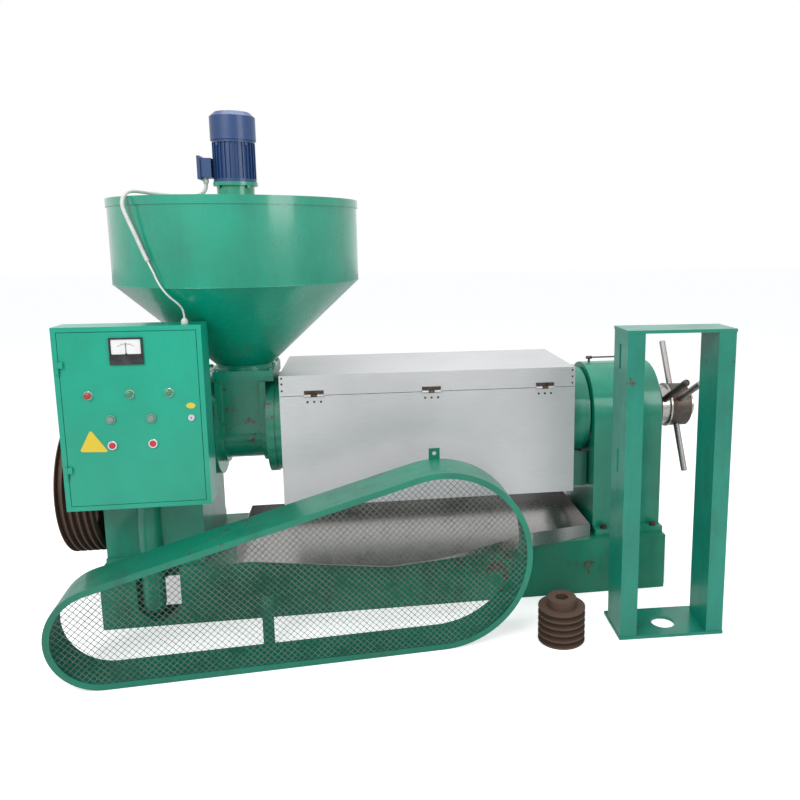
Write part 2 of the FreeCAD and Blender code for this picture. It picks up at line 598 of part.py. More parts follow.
def stirring_motor():
    """Flanged reducer stool, finned motor, fan cowl and terminal box above the lid."""
    floor = "hopper_top + hopper_lid_thick"
    stool = turned("StoolBody", [
        (floor, "stirrer_radius + running_gap"), (floor, "stool_radius + 14"), (f"{floor} + 14", "stool_radius + 14"),
        (f"{floor} + 14", "stool_radius - 14"), ("stool_top - 14", "stool_radius - 14"),
        ("stool_top - 14", "stool_radius"), ("stool_top", "stool_radius"),
        ("stool_top", "stirrer_radius + running_gap")], "Z", "neck_x")
    lugs = [
        rod(f"StoolBolt{i}", "7", "10", f"neck_x + (stool_radius - 6) * cos({45 + 90 * i} deg)",
            f"(stool_radius - 6) * sin({45 + 90 * i} deg)", "stool_top - 24")
        for i in range(4)]
    keep(joined("motor_stool", stool, *lugs))

    core = rod("MotorCore", "motor_radius", "motor_top - stool_top", "neck_x", "0", "stool_top")
    foot = rod("MotorFoot", "motor_radius + fin_height", "12", "neck_x", "0", "stool_top")
    neck = rod("MotorNeck", "motor_radius + fin_height", "10", "neck_x", "0", "motor_top - 10")
    fins = []
    count = int(size("fin_count"))
    for index in range(count):
        fin = doc.addObject("Part::Box", f"Fin{index}")
        bind(fin, "Length", "motor_radius + fin_height")
        bind(fin, "Width", "fin_thick")
        bind(fin, "Height", "motor_top - stool_top")
        turn = Rotation(Vector(0, 0, 1), (index + 0.5) * 360 / count)
        fins.append(place(fin, "neck_x", "0", "stool_top", turn))
    pads = [
        rod(f"MotorLug{i}", "8", "16", f"neck_x + motor_radius * cos({45 + 90 * i} deg)",
            f"motor_radius * sin({45 + 90 * i} deg)", "motor_top - 22")
        for i in range(4)]
    keep(joined("stirring_motor", core, foot, neck, *fins, *pads))

    keep(turned("motor_cowl", [
        ("motor_top", "0"), ("motor_top", "cowl_radius"), ("cowl_top - 18", "cowl_radius"),
        ("cowl_top", "cowl_radius - 20"), ("cowl_top", "0")], "Z", "neck_x"))

    right = "neck_x - motor_radius - fin_height - seat_gap"
    body = box("TerminalBody", ("terminal_left + 12", right), ("-terminal_depth / 2", "terminal_depth / 2"),
               ("terminal_bottom + 8", "terminal_top - 8"))
    cover = box("TerminalLid", ("terminal_left", "terminal_left + 12"),
                ("-terminal_depth / 2 - 8", "terminal_depth / 2 + 8"), ("terminal_bottom", "terminal_top"))
    return keep(joined("motor_terminal_box", body, cover))


def stirrer():
    """Stirring shaft hanging in the hopper with three pairs of arms and scraper tips."""
    shaft = rod("StirrerShaft", "stirrer_radius", "stool_top - 1 - cone_bottom - 30", "neck_x", "0",
                "cone_bottom + 30")
    arms = []
    for index, (height, reach) in enumerate((("1110", "150"), ("1260", "290"), ("1430", "arm_reach"))):
        angle = index * 60
        direction = Vector(math.cos(math.radians(angle)), math.sin(math.radians(angle)), 0)
        for side in (1, -1):
            arms.append(leaning_rod(f"Arm{index}{'ab'[side < 0]}", "arm_radius", reach, "neck_x", "0",
                                    height, direction * side))
    return keep(joined("stirrer", shaft, *arms))


# ---------------------------------------------------------------- worm shaft and cage

def worm_shaft():
    """Main shaft: keyed in the output gear, through the cage, into the thrust sleeve."""
    left = "gearbox_left + 10"
    right = "pedestal_right - 30"
    shaft = turned("ShaftBar", [
        (left, "0"), (left, "shaft_radius"), (right, "shaft_radius"), (right, "0")], "X", "0", "0",
        "worm_axis_z")
    key = box("ShaftKey", ("last_gear_x - 2", "last_gear_x + last_gear_width - 2"),
              ("-key_size / 2", "key_size / 2"),
              ("worm_axis_z", "worm_axis_z + shaft_radius + key_size / 2 - 0.3"))
    return keep(joined("worm_shaft", shaft, key))


def flight_solid(start, end, hub, tip, pitch, thick):
    """Helical flight about the X axis as a closed shell of flat facets, FLIGHT_STEPS to a turn."""
    turns = (end - start - thick) / pitch
    steps = math.ceil(turns * FLIGHT_STEPS)
    rings = []
    for step in range(steps + 1):
        shift = (end - start - thick) * step / steps
        angle = 2 * math.pi * turns * step / steps
        corners = ((0, hub), (thick, hub), (0.8 * thick, tip), (0.2 * thick, tip))
        rings.append([
            Vector(start + shift + along, radius * math.sin(angle), radius * math.cos(angle))
            for along, radius in corners])
    faces = [Part.Face(Part.makePolygon(ring + ring[:1])) for ring in (rings[0], rings[-1])]
    for low, high in zip(rings, rings[1:]):
        for side in range(4):
            a, b = low[side], low[(side + 1) % 4]
            c, d = high[(side + 1) % 4], high[side]
            faces.append(Part.Face(Part.makePolygon([a, b, c, a])))
            faces.append(Part.Face(Part.makePolygon([a, c, d, a])))
    solid = Part.Solid(Part.Shell(faces))
    if solid.Volume < 0:
        solid.reverse()
    return solid


def worm_section(label, start, end, hub_start, hub_end, pitch, thick):
    """Press worm: a tapered hub with a helical flight, bored to slide onto the shaft."""
    bore = "shaft_radius + running_gap"
    hub = turned(label + "Hub", [
        (start, bore), (end, bore), (end, hub_end), (start, hub_start)], "X", "0", "0", "worm_axis_z")
    flight = solid_feature(label + "Flight", flight_solid(
        size(start) + 3, size(end) - 3, size(hub_start) - 4, size("worm_radius"), size(pitch), size(thick)))
    place(flight, "0", "0", "worm_axis_z")
    return joined(label, hub, flight, refine=False)


def worms():
    """Feed worm and the press worms with plain collars between them, closing towards the cake."""
    keep(worm_section("feed_worm", "feed_left + 8", "feed_flange_right - 4", "58", "58", "120", "14"))
    start = size("feed_flange_right")
    sections = (
        (240, 52, 56, 96, 14), (40, 56, 66, 0, 0), (190, 58, 62, 84, 15), (40, 62, 69, 0, 0),
        (170, 61, 65, 74, 16), (40, 65, 71, 0, 0), (160, 63, 67, 66, 17), (40, 67, 72, 0, 0),
        (150, 65, 69, 60, 18), (87, 69, 72, 0, 0))
    parts = []
    for index, (length, hub_start, hub_end, pitch, thick) in enumerate(sections):
        end = start + length
        if pitch:
            parts.append(worm_section(f"PressWorm{index}", str(start), str(end - 1), str(hub_start),
                                      str(hub_end), str(pitch), str(thick)))
        else:
            parts.append(turned(f"Collar{index}", [
                (str(start), "shaft_radius + running_gap"), (str(end - 1), "shaft_radius + running_gap"),
                (str(end - 1), str(hub_end)), (str(start), str(hub_start))], "X", "0", "0", "worm_axis_z"))
        start = end
    keep(group("press_worms", *parts))
    return keep(turned("choke_cone", [
        ("cage_right - 50", "shaft_radius + running_gap"), ("disc_right - 20", "shaft_radius + running_gap"),
        ("disc_right - 20", "74 - cake_gap"), ("cage_right + cake_ring_width", "74 - cake_gap"),
        ("cage_right - 50", "78 - cake_gap")], "X", "0", "0", "worm_axis_z"))


CAGE_BOLTS = [
    (f"feed_flange_right + (cage_right - feed_flange_right) * {place_on} / 10",
     f"{side} * (rib_radius + 22)")
    for place_on in (1, 3, 5, 7, 9) for side in ("-1", "1")]


def cage():
    """Cage halves with ring ribs, the ring of cage bars and the clamp bolts."""
    length = "(cage_right - feed_flange_right)"
    inner = "cage_bore + bar_thick + 0.7"
    ribs = []
    count = int(size("rib_count"))
    for index in range(count):
        start = f"feed_flange_right + {index} * ({length} - rib_thick) / (rib_count - 1)"
        ribs.append(turned(f"Rib{index}", [
            (start, inner), (f"{start} + rib_thick", inner), (f"{start} + rib_thick", "rib_radius"),
            (start, "rib_radius")], "X", "0", "0", "worm_axis_z"))
    beams = []
    for side, sign in (("Front", "-1"), ("Back", "1")):
        low, high = sorted((f"{sign} * (rib_radius - 34)", f"{sign} * (rib_radius + cage_flange_width)"),
                           key=size)
        beams.append(box(f"{side}Beam", ("feed_flange_right", "cage_right"), (low, high),
                         ("worm_axis_z - cage_flange_thick", "worm_axis_z + cage_flange_thick")))
    holes = [
        rod(f"CageBoltHole{i}", "bolt_radius + seat_gap", "4 * cage_flange_thick", x, y,
            "worm_axis_z - 2 * cage_flange_thick")
        for i, (x, y) in enumerate(CAGE_BOLTS)]
    whole = cut("CageWhole", joined("CageJoined", *ribs, *beams), *holes)
    for label, z in (("cage_frame_lower", ("worm_axis_z - 300", "worm_axis_z")),
                     ("cage_frame_upper", ("worm_axis_z", "worm_axis_z + 300"))):
        half = box(label + "Half", ("feed_flange_right - 1", "cage_right + 1"),
                   ("-400", "400"), z)
        keep(overlap(label, whole, half))
    bars = []
    number = int(size("bar_count"))
    for index in range(number):
        angle = (index + 0.5) * 360 / number
        bar = doc.addObject("Part::Box", f"Bar{index}")
        bind(bar, "Length", f"{length} - 2 * seat_gap")
        bind(bar, "Width", "bar_width")
        bind(bar, "Height", "bar_thick")
        half_turn = f"{angle} deg"
        bars.append(place(
            bar, "feed_flange_right + seat_gap",
            f"cage_bore * sin({half_turn}) - bar_width / 2 * cos({half_turn})",
            f"worm_axis_z + cage_bore * cos({half_turn}) + bar_width / 2 * sin({half_turn})",
            Rotation(Vector(1, 0, 0), -angle)))
    return keep(group("cage_bars", *bars))


def clamp_bolts():
    """Bolts of the cage flanges, the pedestal cap and the pedestal foot, heads and nuts."""
    bolts = []
    for index, (x, y) in enumerate(CAGE_BOLTS):
        low, high = "worm_axis_z - cage_flange_thick", "worm_axis_z + cage_flange_thick"
        shank = rod(f"CageBoltShank{index}", "bolt_radius", f"({high}) - ({low})", x, y, low)
        ends = []
        for name, base in (("Head", high), ("Nut", f"{low} - 13")):
            end = doc.addObject("Part::Prism", f"CageBolt{name}{index}")
            end.Polygon = 6
            bind(end, "Circumradius", "bolt_radius + 6")
            bind(end, "Height", "13")
            ends.append(place(end, x, y, base))
        bolts.append(joined(f"CageBolt{index}", shank, *ends))
    for index, x in enumerate(("pedestal_left + 40", "pedestal_right - 40")):
        for name, sign in (("F", "-1"), ("B", "1")):
            y = f"{sign} * (pedestal_foot_width / 2 - 18)"
            head = doc.addObject("Part::Prism", f"FootBolt{name}{index}")
            head.Polygon = 6
            bind(head, "Circumradius", "15")
            bind(head, "Height", "13")
            bolts.append(place(head, x, y, "base_height + pedestal_foot_thick"))
    return keep(group("clamp_bolts", *bolts))


# ---------------------------------------------------------------- discharge end

def discharge_flange():
    """Stepped end flange of the cage: holds the cake ring, opens downwards for the cake."""
    ring = turned("DiscTurned", [
        ("cage_right", "74"), ("cage_right + cake_ring_width", "74"),
        ("cage_right + cake_ring_width", "150"), ("disc_right", "150"),
        ("disc_right", "disc_step_radius"), ("disc_right - disc_step", "disc_step_radius"),
        ("disc_right - disc_step", "disc_radius"), ("cage_right", "disc_radius")], "X", "0", "0",
        "worm_axis_z")
    window = box("CakeWindow", ("cage_right + cake_ring_width", "disc_right - 8"),
                 ("-window_width / 2", "window_width / 2"), ("worm_axis_z - 260", "worm_axis_z - 60"))
    return keep(cut("discharge_flange", ring, window))


def cake_chute():
    """Sheet chute under the cake window, sloping to the back of the machine."""
    low_x, high_x = "cage_right + 14", "disc_right + 3"
    top, front = "worm_axis_z - 165", "-130"
    profile = [
        (front, top), (front, "430"), ("base_width / 2 + 40", "318"),
        ("base_width / 2 + 40", "322"), (f"{front} + chute_wall", "434"), (f"{front} + chute_wall", top)]
    sheet_piece = padded("ChuteSheet", profile, f"{high_x} - ({low_x})", "YZ_Plane", low_x)
    side_outline = [
        (front, top), (front, "430"), ("base_width / 2 + 40", "318"), ("base_width / 2 + 40", "380"),
        ("130", top)]
    sides = [
        padded(f"ChuteSide{i}", side_outline, "chute_wall", "YZ_Plane", x)
        for i, x in enumerate((low_x, f"{high_x} - chute_wall"))]
    saddle = rod("ChuteSaddle", "disc_radius + seat_gap", "disc_step + 200", "cage_right - 60", "0",
                 "worm_axis_z", "X")
    return keep(cut("cake_chute", joined("ChuteWelded", sheet_piece, *sides), saddle))


def pedestal():
    """Bearing pedestal on the base, with its half-round cap."""
    half = "pedestal_width / 2"
    foot = box("PedestalFoot", ("pedestal_left", "pedestal_right"),
               ("-pedestal_foot_width / 2", "pedestal_foot_width / 2"),
               ("base_height", "base_height + pedestal_foot_thick"))
    block = box("PedestalBlock", ("pedestal_left", "pedestal_right"), (f"-{half}", half),
                ("base_height", "worm_axis_z"))
    hollow = box("PedestalHollow", ("pedestal_left + 26", "pedestal_right - 26"),
                 (f"-{half} + 26", f"{half} - 26"), ("base_height - 1", "worm_axis_z - 150"))
    bore = rod("PedestalBore", "sleeve_radius + running_gap", "pedestal_right - pedestal_left + 2",
               "pedestal_left - 1", "0", "worm_axis_z", "X")
    keep(cut("pedestal", joined("PedestalCast", foot, block), hollow, bore))
    arch = rod("CapArch", "cap_radius", "pedestal_right - pedestal_left", "pedestal_left", "0",
               "worm_axis_z", "X")
    trim = box("CapTrim", ("pedestal_left - 1", "pedestal_right + 1"), ("-300", "300"),
               ("worm_axis_z - 300", "worm_axis_z"))
    cap_bore = rod("CapBore", "sleeve_radius + running_gap", "pedestal_right - pedestal_left + 2",
                   "pedestal_left - 1", "0", "worm_axis_z", "X")
    return keep(cut("pedestal_cap", arch, trim, cap_bore))


def adjusting_gear():
    """Thrust sleeve, threaded flange, adjusting screw, lock collar, hub and handle bars."""
    keep(turned("thrust_sleeve", [
        ("pedestal_left + 20", "shaft_radius + running_gap"), ("pedestal_left + 20", "sleeve_radius"),
        ("pedestal_right - 12", "sleeve_radius"), ("pedestal_right - 12", "0"),
        ("pedestal_right - 29", "0"), ("pedestal_right - 29", "shaft_radius + running_gap")], "X",
        "0", "0", "worm_axis_z"))
    keep(turned("adjusting_flange", [
        ("pedestal_right", "screw_radius + running_gap"),
        ("pedestal_right + adjust_flange_thick", "screw_radius + running_gap"),
        ("pedestal_right + adjust_flange_thick", "adjust_flange_radius - 8"),
        ("pedestal_right + adjust_flange_thick - 8", "adjust_flange_radius"),
        ("pedestal_right", "adjust_flange_radius")], "X", "0", "0", "worm_axis_z"))
    tail = "screw_tail_radius"
    keep(turned("adjusting_screw", [
        ("pedestal_right - 11.7", "0"), ("pedestal_right - 11.7", "screw_radius"),
        ("collar_left - 1", "screw_radius"), ("collar_left - 1", tail), ("screw_tail - 4", tail),
        ("screw_tail", f"{tail} - 4"), ("screw_tail", "0")], "X", "0", "0", "worm_axis_z"))
    inner = f"{tail} + running_gap"
    ring = "collar_left + collar_width"
    collar = turned("CollarTurned", [
        ("collar_left", inner), ("collar_left", "collar_radius"), (ring, "collar_radius"),
        (f"{ring}", "collar_radius - 4"), (f"{ring} + 2", "collar_radius - 4"),
        (f"{ring} + 2", "lock_ring_radius"), (f"{ring} + 9", "lock_ring_radius"),
        (f"{ring} + 9", inner)], "X", "0", "0", "worm_axis_z")
    angle = size("handle_angle")
    lift = Vector(0, -math.cos(math.radians(angle)), math.sin(math.radians(angle)))
    bar_hole = leaning_rod("LockBarHole", "lock_bar_radius + seat_gap", "60", "lock_bar_x",
                           "-handle_root * cos(handle_angle * 1 deg)",
                           "worm_axis_z + handle_root * sin(handle_angle * 1 deg)", lift)
    keep(cut("lock_collar", collar, bar_hole))
    hub = turned("HubTurned", [
        ("hub_left", inner), ("hub_left", "hub_radius - 3"), ("hub_left + 3", "hub_radius"),
        ("hub_left + hub_width - 6", "hub_radius"), ("hub_left + hub_width", "hub_radius - 6"),
        ("hub_left + hub_width", inner)], "X", "0", "0", "worm_axis_z")
    holes, bars = [], []
    for index in range(4):
        turn = f"(handle_angle + {index} * 90) * 1 deg"
        y, z = f"handle_root * sin({turn})", f"worm_axis_z + handle_root * cos({turn})"
        radians = math.radians(angle + index * 90)
        direction = Vector(0, math.sin(radians), math.cos(radians))
        holes.append(leaning_rod(f"HandleHole{index}", "handle_radius + seat_gap", "60", "handle_x",
                                 y, z, direction))
        bars.append(leaning_rod(f"Handle{index}", "handle_radius", "handle_reach - handle_root",
                                "handle_x", y, z, direction))
    bars.append(leaning_rod("LockBar", "lock_bar_radius", "lock_bar_reach - handle_root", "lock_bar_x",
                            "-handle_root * cos(handle_angle * 1 deg)",
                            "worm_axis_z + handle_root * sin(handle_angle * 1 deg)", lift))
    keep(cut("adjusting_hub", hub, *holes))
    return keep(group("handle_bars", *bars))


def lubrication_pipe():
    """Thin grease pipe with a tee on the pedestal cap."""
    top = "worm_axis_z + cap_radius + 0.1"
    post = rod("PipePost", "5", "25", "pedestal_left + 36", "0", top)
    tee = rod("PipeTee", "7", "26", "pedestal_left + 23", "0", f"{top} + 20", "X")
    run = rod("PipeRun", "3.5", "180", "pedestal_left + 45", "0", f"{top} + 20", "X")
    end = rod("PipeEnd", "5", "25", "pedestal_left + 222", "0", top)
    return keep(joined("lubrication_pipe", post, tee, run, end))


# ---------------------------------------------------------------- cover and tray

def press_cover():
    """Stainless hood over the cage: top, back, ends and front lip, open below and in front."""
    half = "cover_width / 2"
    outer = box("HoodOuter", ("cover_left", "cover_right"), (f"-{half}", half),
                ("cover_bottom", "cover_top"))
    inner = box("HoodInner", ("cover_left + cover_sheet", "cover_right - cover_sheet"),
                (f"-{half} + cover_sheet", f"{half} - cover_sheet"),
                ("cover_bottom - 1", "cover_top - cover_sheet"))
    front = box("HoodFrontOpening", ("cover_left - 1", "cover_right + 1"),
                (f"-{half} - 1", f"-{half} + cover_sheet"), ("cover_bottom - 1", "cover_seam"))
    notch = rod("HoodNotchRound", "rib_radius + cage_flange_width + 6", "cover_right - cover_left + 2",
                "cover_left - 1", "0", "worm_axis_z", "X")
    slot = box("HoodNotchSlot", ("cover_left - 1", "cover_right + 1"),
               ("-rib_radius - cage_flange_width - 6", "rib_radius + cage_flange_width + 6"),
               ("cover_bottom - 1", "worm_axis_z"))
    shell = cut("HoodShell", outer, inner, front, notch, slot)
    rests = []
    for i, start in enumerate(("cover_left + cover_sheet", "cover_right - cover_sheet - 30")):
        rests.append(box(f"HoodRest{i}", (start, f"{start} + 30"), ("-30", "30"),
                         ("worm_axis_z + rib_radius - 2", "cover_top - 1")))
    saddle = rod("HoodSaddle", "rib_radius + seat_gap", "cover_right - cover_left + 30",
                 "cover_left - 1", "0", "worm_axis_z", "X")
    carriers = cut("HoodCarriers", joined("HoodRests", *rests), saddle)
    return keep(joined("press_cover", shell, carriers))


HINGE_CENTRES = ("cover_left + 133", "(cover_left + cover_right) / 2", "cover_right - 128")


def cover_door():
    """Front flap of the hood with the outer hinge knuckles, and the hinges' fixed halves."""
    half = "cover_width / 2"
    top = "cover_seam - seam_gap"
    panel = box("DoorPanel", ("cover_left", "cover_right"), (f"-{half}", f"-{half} + cover_sheet - 0.2"),
                ("cover_bottom", top))
    face = f"-{half} - hinge_leaf_thick"
    axis_y, axis_z = f"-{half} - hinge_radius", "cover_seam - seam_gap / 2"
    moving, fixed, holes = [panel], [], []
    third = "hinge_length / 3"
    for index, centre in enumerate(HINGE_CENTRES):
        low, high = f"{centre} - hinge_length / 2", f"{centre} + hinge_length / 2"
        moving.append(box(f"DoorLeaf{index}", (low, high), (face, f"-{half}"),
                          (f"{axis_z} - hinge_leaf", f"{axis_z} - 2")))
        holes.append(box(f"DoorLeafNotch{index}", (f"{low} + {third} - 0.3", f"{high} - {third} + 0.3"),
                         (f"-{half} - 12", f"-{half}"),
                         (f"{axis_z} - hinge_radius - 1", f"{axis_z} + 8")))
        for part, start in enumerate((low, f"{high} - {third}")):
            moving.append(rod(f"DoorKnuckle{index}{part}", "hinge_radius", f"{third} - 0.5",
                              f"{start} + 0.25", axis_y, axis_z, "X"))
        moving.append(rod(f"DoorPin{index}", "hinge_pin", "hinge_length", low, axis_y, axis_z, "X"))
        leaf = box(f"HoodLeaf{index}", (low, high), (face, f"-{half}"),
                   (f"{axis_z} + 2", f"{axis_z} + hinge_leaf"))
        knuckle = rod(f"HoodKnuckle{index}", "hinge_radius", f"{third} - 0.5",
                      f"{low} + {third} + 0.25", axis_y, axis_z, "X")
        bore = rod(f"HoodPinBore{index}", "hinge_pin + running_gap", "hinge_length + 2",
                   f"{low} - 1", axis_y, axis_z, "X")
        ends = [
            box(f"HoodLeafEnd{index}{part}", (start, f"{start} + {third} + 0.6"),
                (f"-{half} - 12", f"-{half} + 1"), (f"{axis_z} - 8", f"{axis_z} + hinge_radius + 1"))
            for part, start in enumerate((f"{low} - 0.3", f"{high} - {third} - 0.3"))]
        fixed.append(cut(f"FixedHinge{index}", joined(f"FixedHingeWhole{index}", leaf, knuckle), bore,
                         *ends))
    pins = [item for item in moving if item.Label.startswith("DoorPin")]
    solids = [item for item in moving if not item.Label.startswith("DoorPin")]
    keep(joined("cover_door", cut("DoorNotched", joined("DoorWhole", *solids), *holes), *pins))
    return keep(group("cover_hinges", *fixed))


def oil_tray():
    """Stainless oil tray on the base: a shallow pointed front edge whose lip dies away."""
    left, right, back = "-640", "826", "tray_back"
    corners = [(left, "-282"), ("-576", "-284"), ("-41", "-418"), ("560", "-318"), (right, "-258"),
               (right, back), (left, back)]
    inner = [("-640 + tray_sheet", "-282 + tray_sheet"), ("-576", "-284 + tray_sheet"),
             ("-41", "-418 + tray_sheet"), ("560", "-318 + tray_sheet"),
             (f"{right} - tray_sheet", "-258 + tray_sheet"),
             (f"{right} - tray_sheet", f"{back} - tray_sheet"),
             (f"{left} + tray_sheet", f"{back} - tray_sheet")]
    outer = padded("TrayOuter", corners, "tray_lip", "XY_Plane", z="base_height")
    hollow = padded("TrayHollow", inner, "tray_lip", "XY_Plane", z="base_height + tray_sheet")
    wedge = padded("TrayLipTaper", [
        ("560", "base_height + tray_lip + 0.1"), ("160", "base_height + tray_sheet"),
        (f"{left} - 1", "base_height + tray_sheet"), (f"{left} - 1", "base_height + tray_lip + 0.1")],
        "180", "XZ_Plane", y="-250")
    return keep(cut("oil_tray", outer, hollow, wedge))


# ---------------------------------------------------------------- control cabinet

CABINET_RIGHT = "cabinet_left + cabinet_width"
CABINET_TOP = "cabinet_bottom + cabinet_height"
DOOR_FACE = "cabinet_front"
LAMPS = (("-1079", "973"), ("-940", "974"), ("-807", "975"))
STARTS = (("start_button_left", "-1010", "885"), ("start_button_right", "-873", "884"))
STOPS = (("stop_button_left", "-1011", "790"), ("stop_button_right", "-873", "791"))
METER = ("-940", "1128")
LOCK = ("-736", "880")
HINGE_X, HINGE_Y = "cabinet_left + cabinet_frame - 3", "(cabinet_front - door_knuckle - seat_gap)"
DOOR_HINGE_Z = ("1051", "672")


def cabinet_box():
    """Folded steel box and the flat frame welded to its front, in which the door lies."""
    back = "cabinet_front + cabinet_depth"
    frame_back = "cabinet_front + cabinet_sheet + door_thick"
    outer = box("CabinetOuter", ("cabinet_left", CABINET_RIGHT), (frame_back, back),
                ("cabinet_bottom", CABINET_TOP))
    inner = box("CabinetInner", ("cabinet_left + cabinet_sheet", f"{CABINET_RIGHT} - cabinet_sheet"),
                (f"{frame_back} - 1", f"{back} - cabinet_sheet"),
                ("cabinet_bottom + cabinet_sheet", f"{CABINET_TOP} - cabinet_sheet"))
    rim = box("CabinetRim", ("cabinet_left", CABINET_RIGHT), ("cabinet_front", frame_back),
              ("cabinet_bottom", CABINET_TOP))
    mouth = box("CabinetMouth", ("cabinet_left + cabinet_frame", f"{CABINET_RIGHT} - cabinet_frame"),
                ("cabinet_front - 1", f"{frame_back} + 1"),
                ("cabinet_bottom + cabinet_frame", f"{CABINET_TOP} - cabinet_frame"))
    entry = rod("CabinetEntry", "8.3", "20", "-751", "-397", f"{CABINET_TOP} - 10")
    knuckles, bores = [], []
    for i, z in enumerate(DOOR_HINGE_Z):
        knuckles.append(rod(f"CabinetKnuckle{i}", "door_knuckle", "22", HINGE_X, HINGE_Y, z))
        knuckles.append(box(f"CabinetKnuckleFoot{i}", (f"{HINGE_X} - 4", f"{HINGE_X} + 2"),
                            (f"{HINGE_Y} + 2", "cabinet_front + 1"), (z, f"{z} + 22")))
        bores.append(rod(f"CabinetKnuckleBore{i}", "3 + running_gap", "40", HINGE_X, HINGE_Y, f"{z} - 9"))
    shell = cut("CabinetShell", outer, inner, entry)
    frame = cut("CabinetFrame", joined("CabinetFrameWelded", cut("CabinetRimOpen", rim, mouth), *knuckles),
                *bores)
    return keep(group("cabinet_box", shell, frame))


def cabinet_brackets():
    """Two flat bars that carry the cabinet on the gearbox."""
    bars = [
        box(f"Bracket{i}", ("cabinet_left + 80", f"{CABINET_RIGHT} - 80"),
            ("cabinet_front + cabinet_depth", "-gearbox_width / 2"), (z, f"{z} + 40"))
        for i, z in enumerate(("cabinet_bottom + 80", "cabinet_bottom + 300"))]
    return keep(group("cabinet_brackets", *bars))


def cabinet_door():
    """Inset door with button collars, its two hinge knuckles and openings for the fittings."""
    low_x, high_x = "cabinet_left + cabinet_frame + door_gap", f"{CABINET_RIGHT} - cabinet_frame - door_gap"
    low_z, high_z = "cabinet_bottom + cabinet_frame + door_gap", f"{CABINET_TOP} - cabinet_frame - door_gap"
    back = "cabinet_front + door_thick"
    panel = box("CabinetPanel", (low_x, high_x), ("cabinet_front", back), (low_z, high_z))
    parts, holes = [panel], []
    for name, x, z in STARTS + STOPS:
        parts.append(rod(name + "Collar", "button_collar", "5", x, "cabinet_front - 5", z, "Y"))
        holes.append(rod(name + "Hole", "button_radius + seat_gap", "30", x, "cabinet_front - 20", z, "Y"))
    for i, (x, z) in enumerate(LAMPS):
        holes.append(rod(f"LampHole{i}", "lamp_radius - 4", "30", x, "cabinet_front - 20", z, "Y"))
    holes.append(rod("LockHole", "8", "30", LOCK[0], "cabinet_front - 20", LOCK[1], "Y"))
    for i, base in enumerate(DOOR_HINGE_Z):
        z = f"{base} + 22.4"
        parts.append(rod(f"DoorKnuckleZ{i}", "door_knuckle", "22", HINGE_X, HINGE_Y, z))
        parts.append(rod(f"DoorPinZ{i}", "3", "43", HINGE_X, HINGE_Y, f"{z} - 21"))
        parts.append(box(f"DoorLeafZ{i}", (HINGE_X, f"{HINGE_X} + 20"),
                         (f"{HINGE_Y} - 3", f"{HINGE_Y}"), (z, f"{z} + 22")))
        parts.append(box(f"DoorLeafFootZ{i}", (f"{HINGE_X} + 12", f"{HINGE_X} + 20"),
                         (f"{HINGE_Y} - 3", "cabinet_front + 1"), (z, f"{z} + 22")))
    return keep(cut("cabinet_door", joined("CabinetDoorWhole", *parts), *holes))


def door_fittings():
    """Ammeter with its needle, lamps, push buttons and the turning lock."""
    x, z = METER
    case = box("MeterCase", (f"{x} - meter_width / 2", f"{x} + meter_width / 2"),
               ("cabinet_front - meter_depth", "cabinet_front"),
               (f"{z} - meter_height / 2", f"{z} + meter_height / 2"))
    window = box("MeterWindow", (f"{x} - meter_width / 2 + 5", f"{x} + meter_width / 2 - 5"),
                 ("cabinet_front - meter_depth - 1", "cabinet_front - meter_depth + 4"),
                 (f"{z} - meter_height / 2 + 34", f"{z} + meter_height / 2 - 5"))
    keep(cut("ammeter", case, window))
    pivot_z = f"{z} - meter_height / 2 + 34"
    needle = box("NeedleBar", (f"{x} - 0.7", f"{x} + 0.7"),
                 ("cabinet_front - meter_depth + 1.5", "cabinet_front - meter_depth + 2.5"),
                 (f"{pivot_z} + 1", f"{pivot_z} + 44"))
    hub = rod("NeedleHub", "3", "1.95", x, "cabinet_front - meter_depth + 2", f"{pivot_z} + 4", "Y")
    keep(joined("meter_needle", needle, hub))
    lamps = []
    for i, (x, z) in enumerate(LAMPS):
        stem = rod(f"LampStem{i}", "lamp_radius - 4.3", "30", x, "cabinet_front - 2", z, "Y")
        flange = rod(f"LampFlange{i}", "lamp_radius", "3", x, "cabinet_front - 3", z, "Y")
        lens = rod(f"LampLens{i}", "lamp_radius - 3", "lamp_depth", x, "cabinet_front - lamp_depth", z, "Y")
        lamps.append(joined(f"Lamp{i}", stem, flange, lens))
    keep(group("indicator_lamps", *lamps))
    for name, x, z in STARTS + STOPS:
        head = rod(name + "Head", "button_radius", "button_out + 20", x,
                   "cabinet_front - button_out", z, "Y")
        stop = rod(name + "Stop", "button_radius + 3", "3", x, "cabinet_front + door_thick + seat_gap", z, "Y")
        keep(joined(name, head, stop))
    x, z = LOCK
    barrel = rod("LockBarrel", "7.7", "26", x, "cabinet_front - 4", z, "Y")
    rose = rod("LockRose", "11", "4", x, "cabinet_front - 4", z, "Y")
    cam_y = "cabinet_front + cabinet_sheet + door_thick + 5 * seat_gap"
    cam = box("LockCam", (f"{x} - 8", f"{x} + 8"), (cam_y, f"{cam_y} + 4"), (f"{z} - 38", f"{z} + 6"))
    return keep(joined("door_lock", barrel, rose, cam))


# ---------------------------------------------------------------- cable

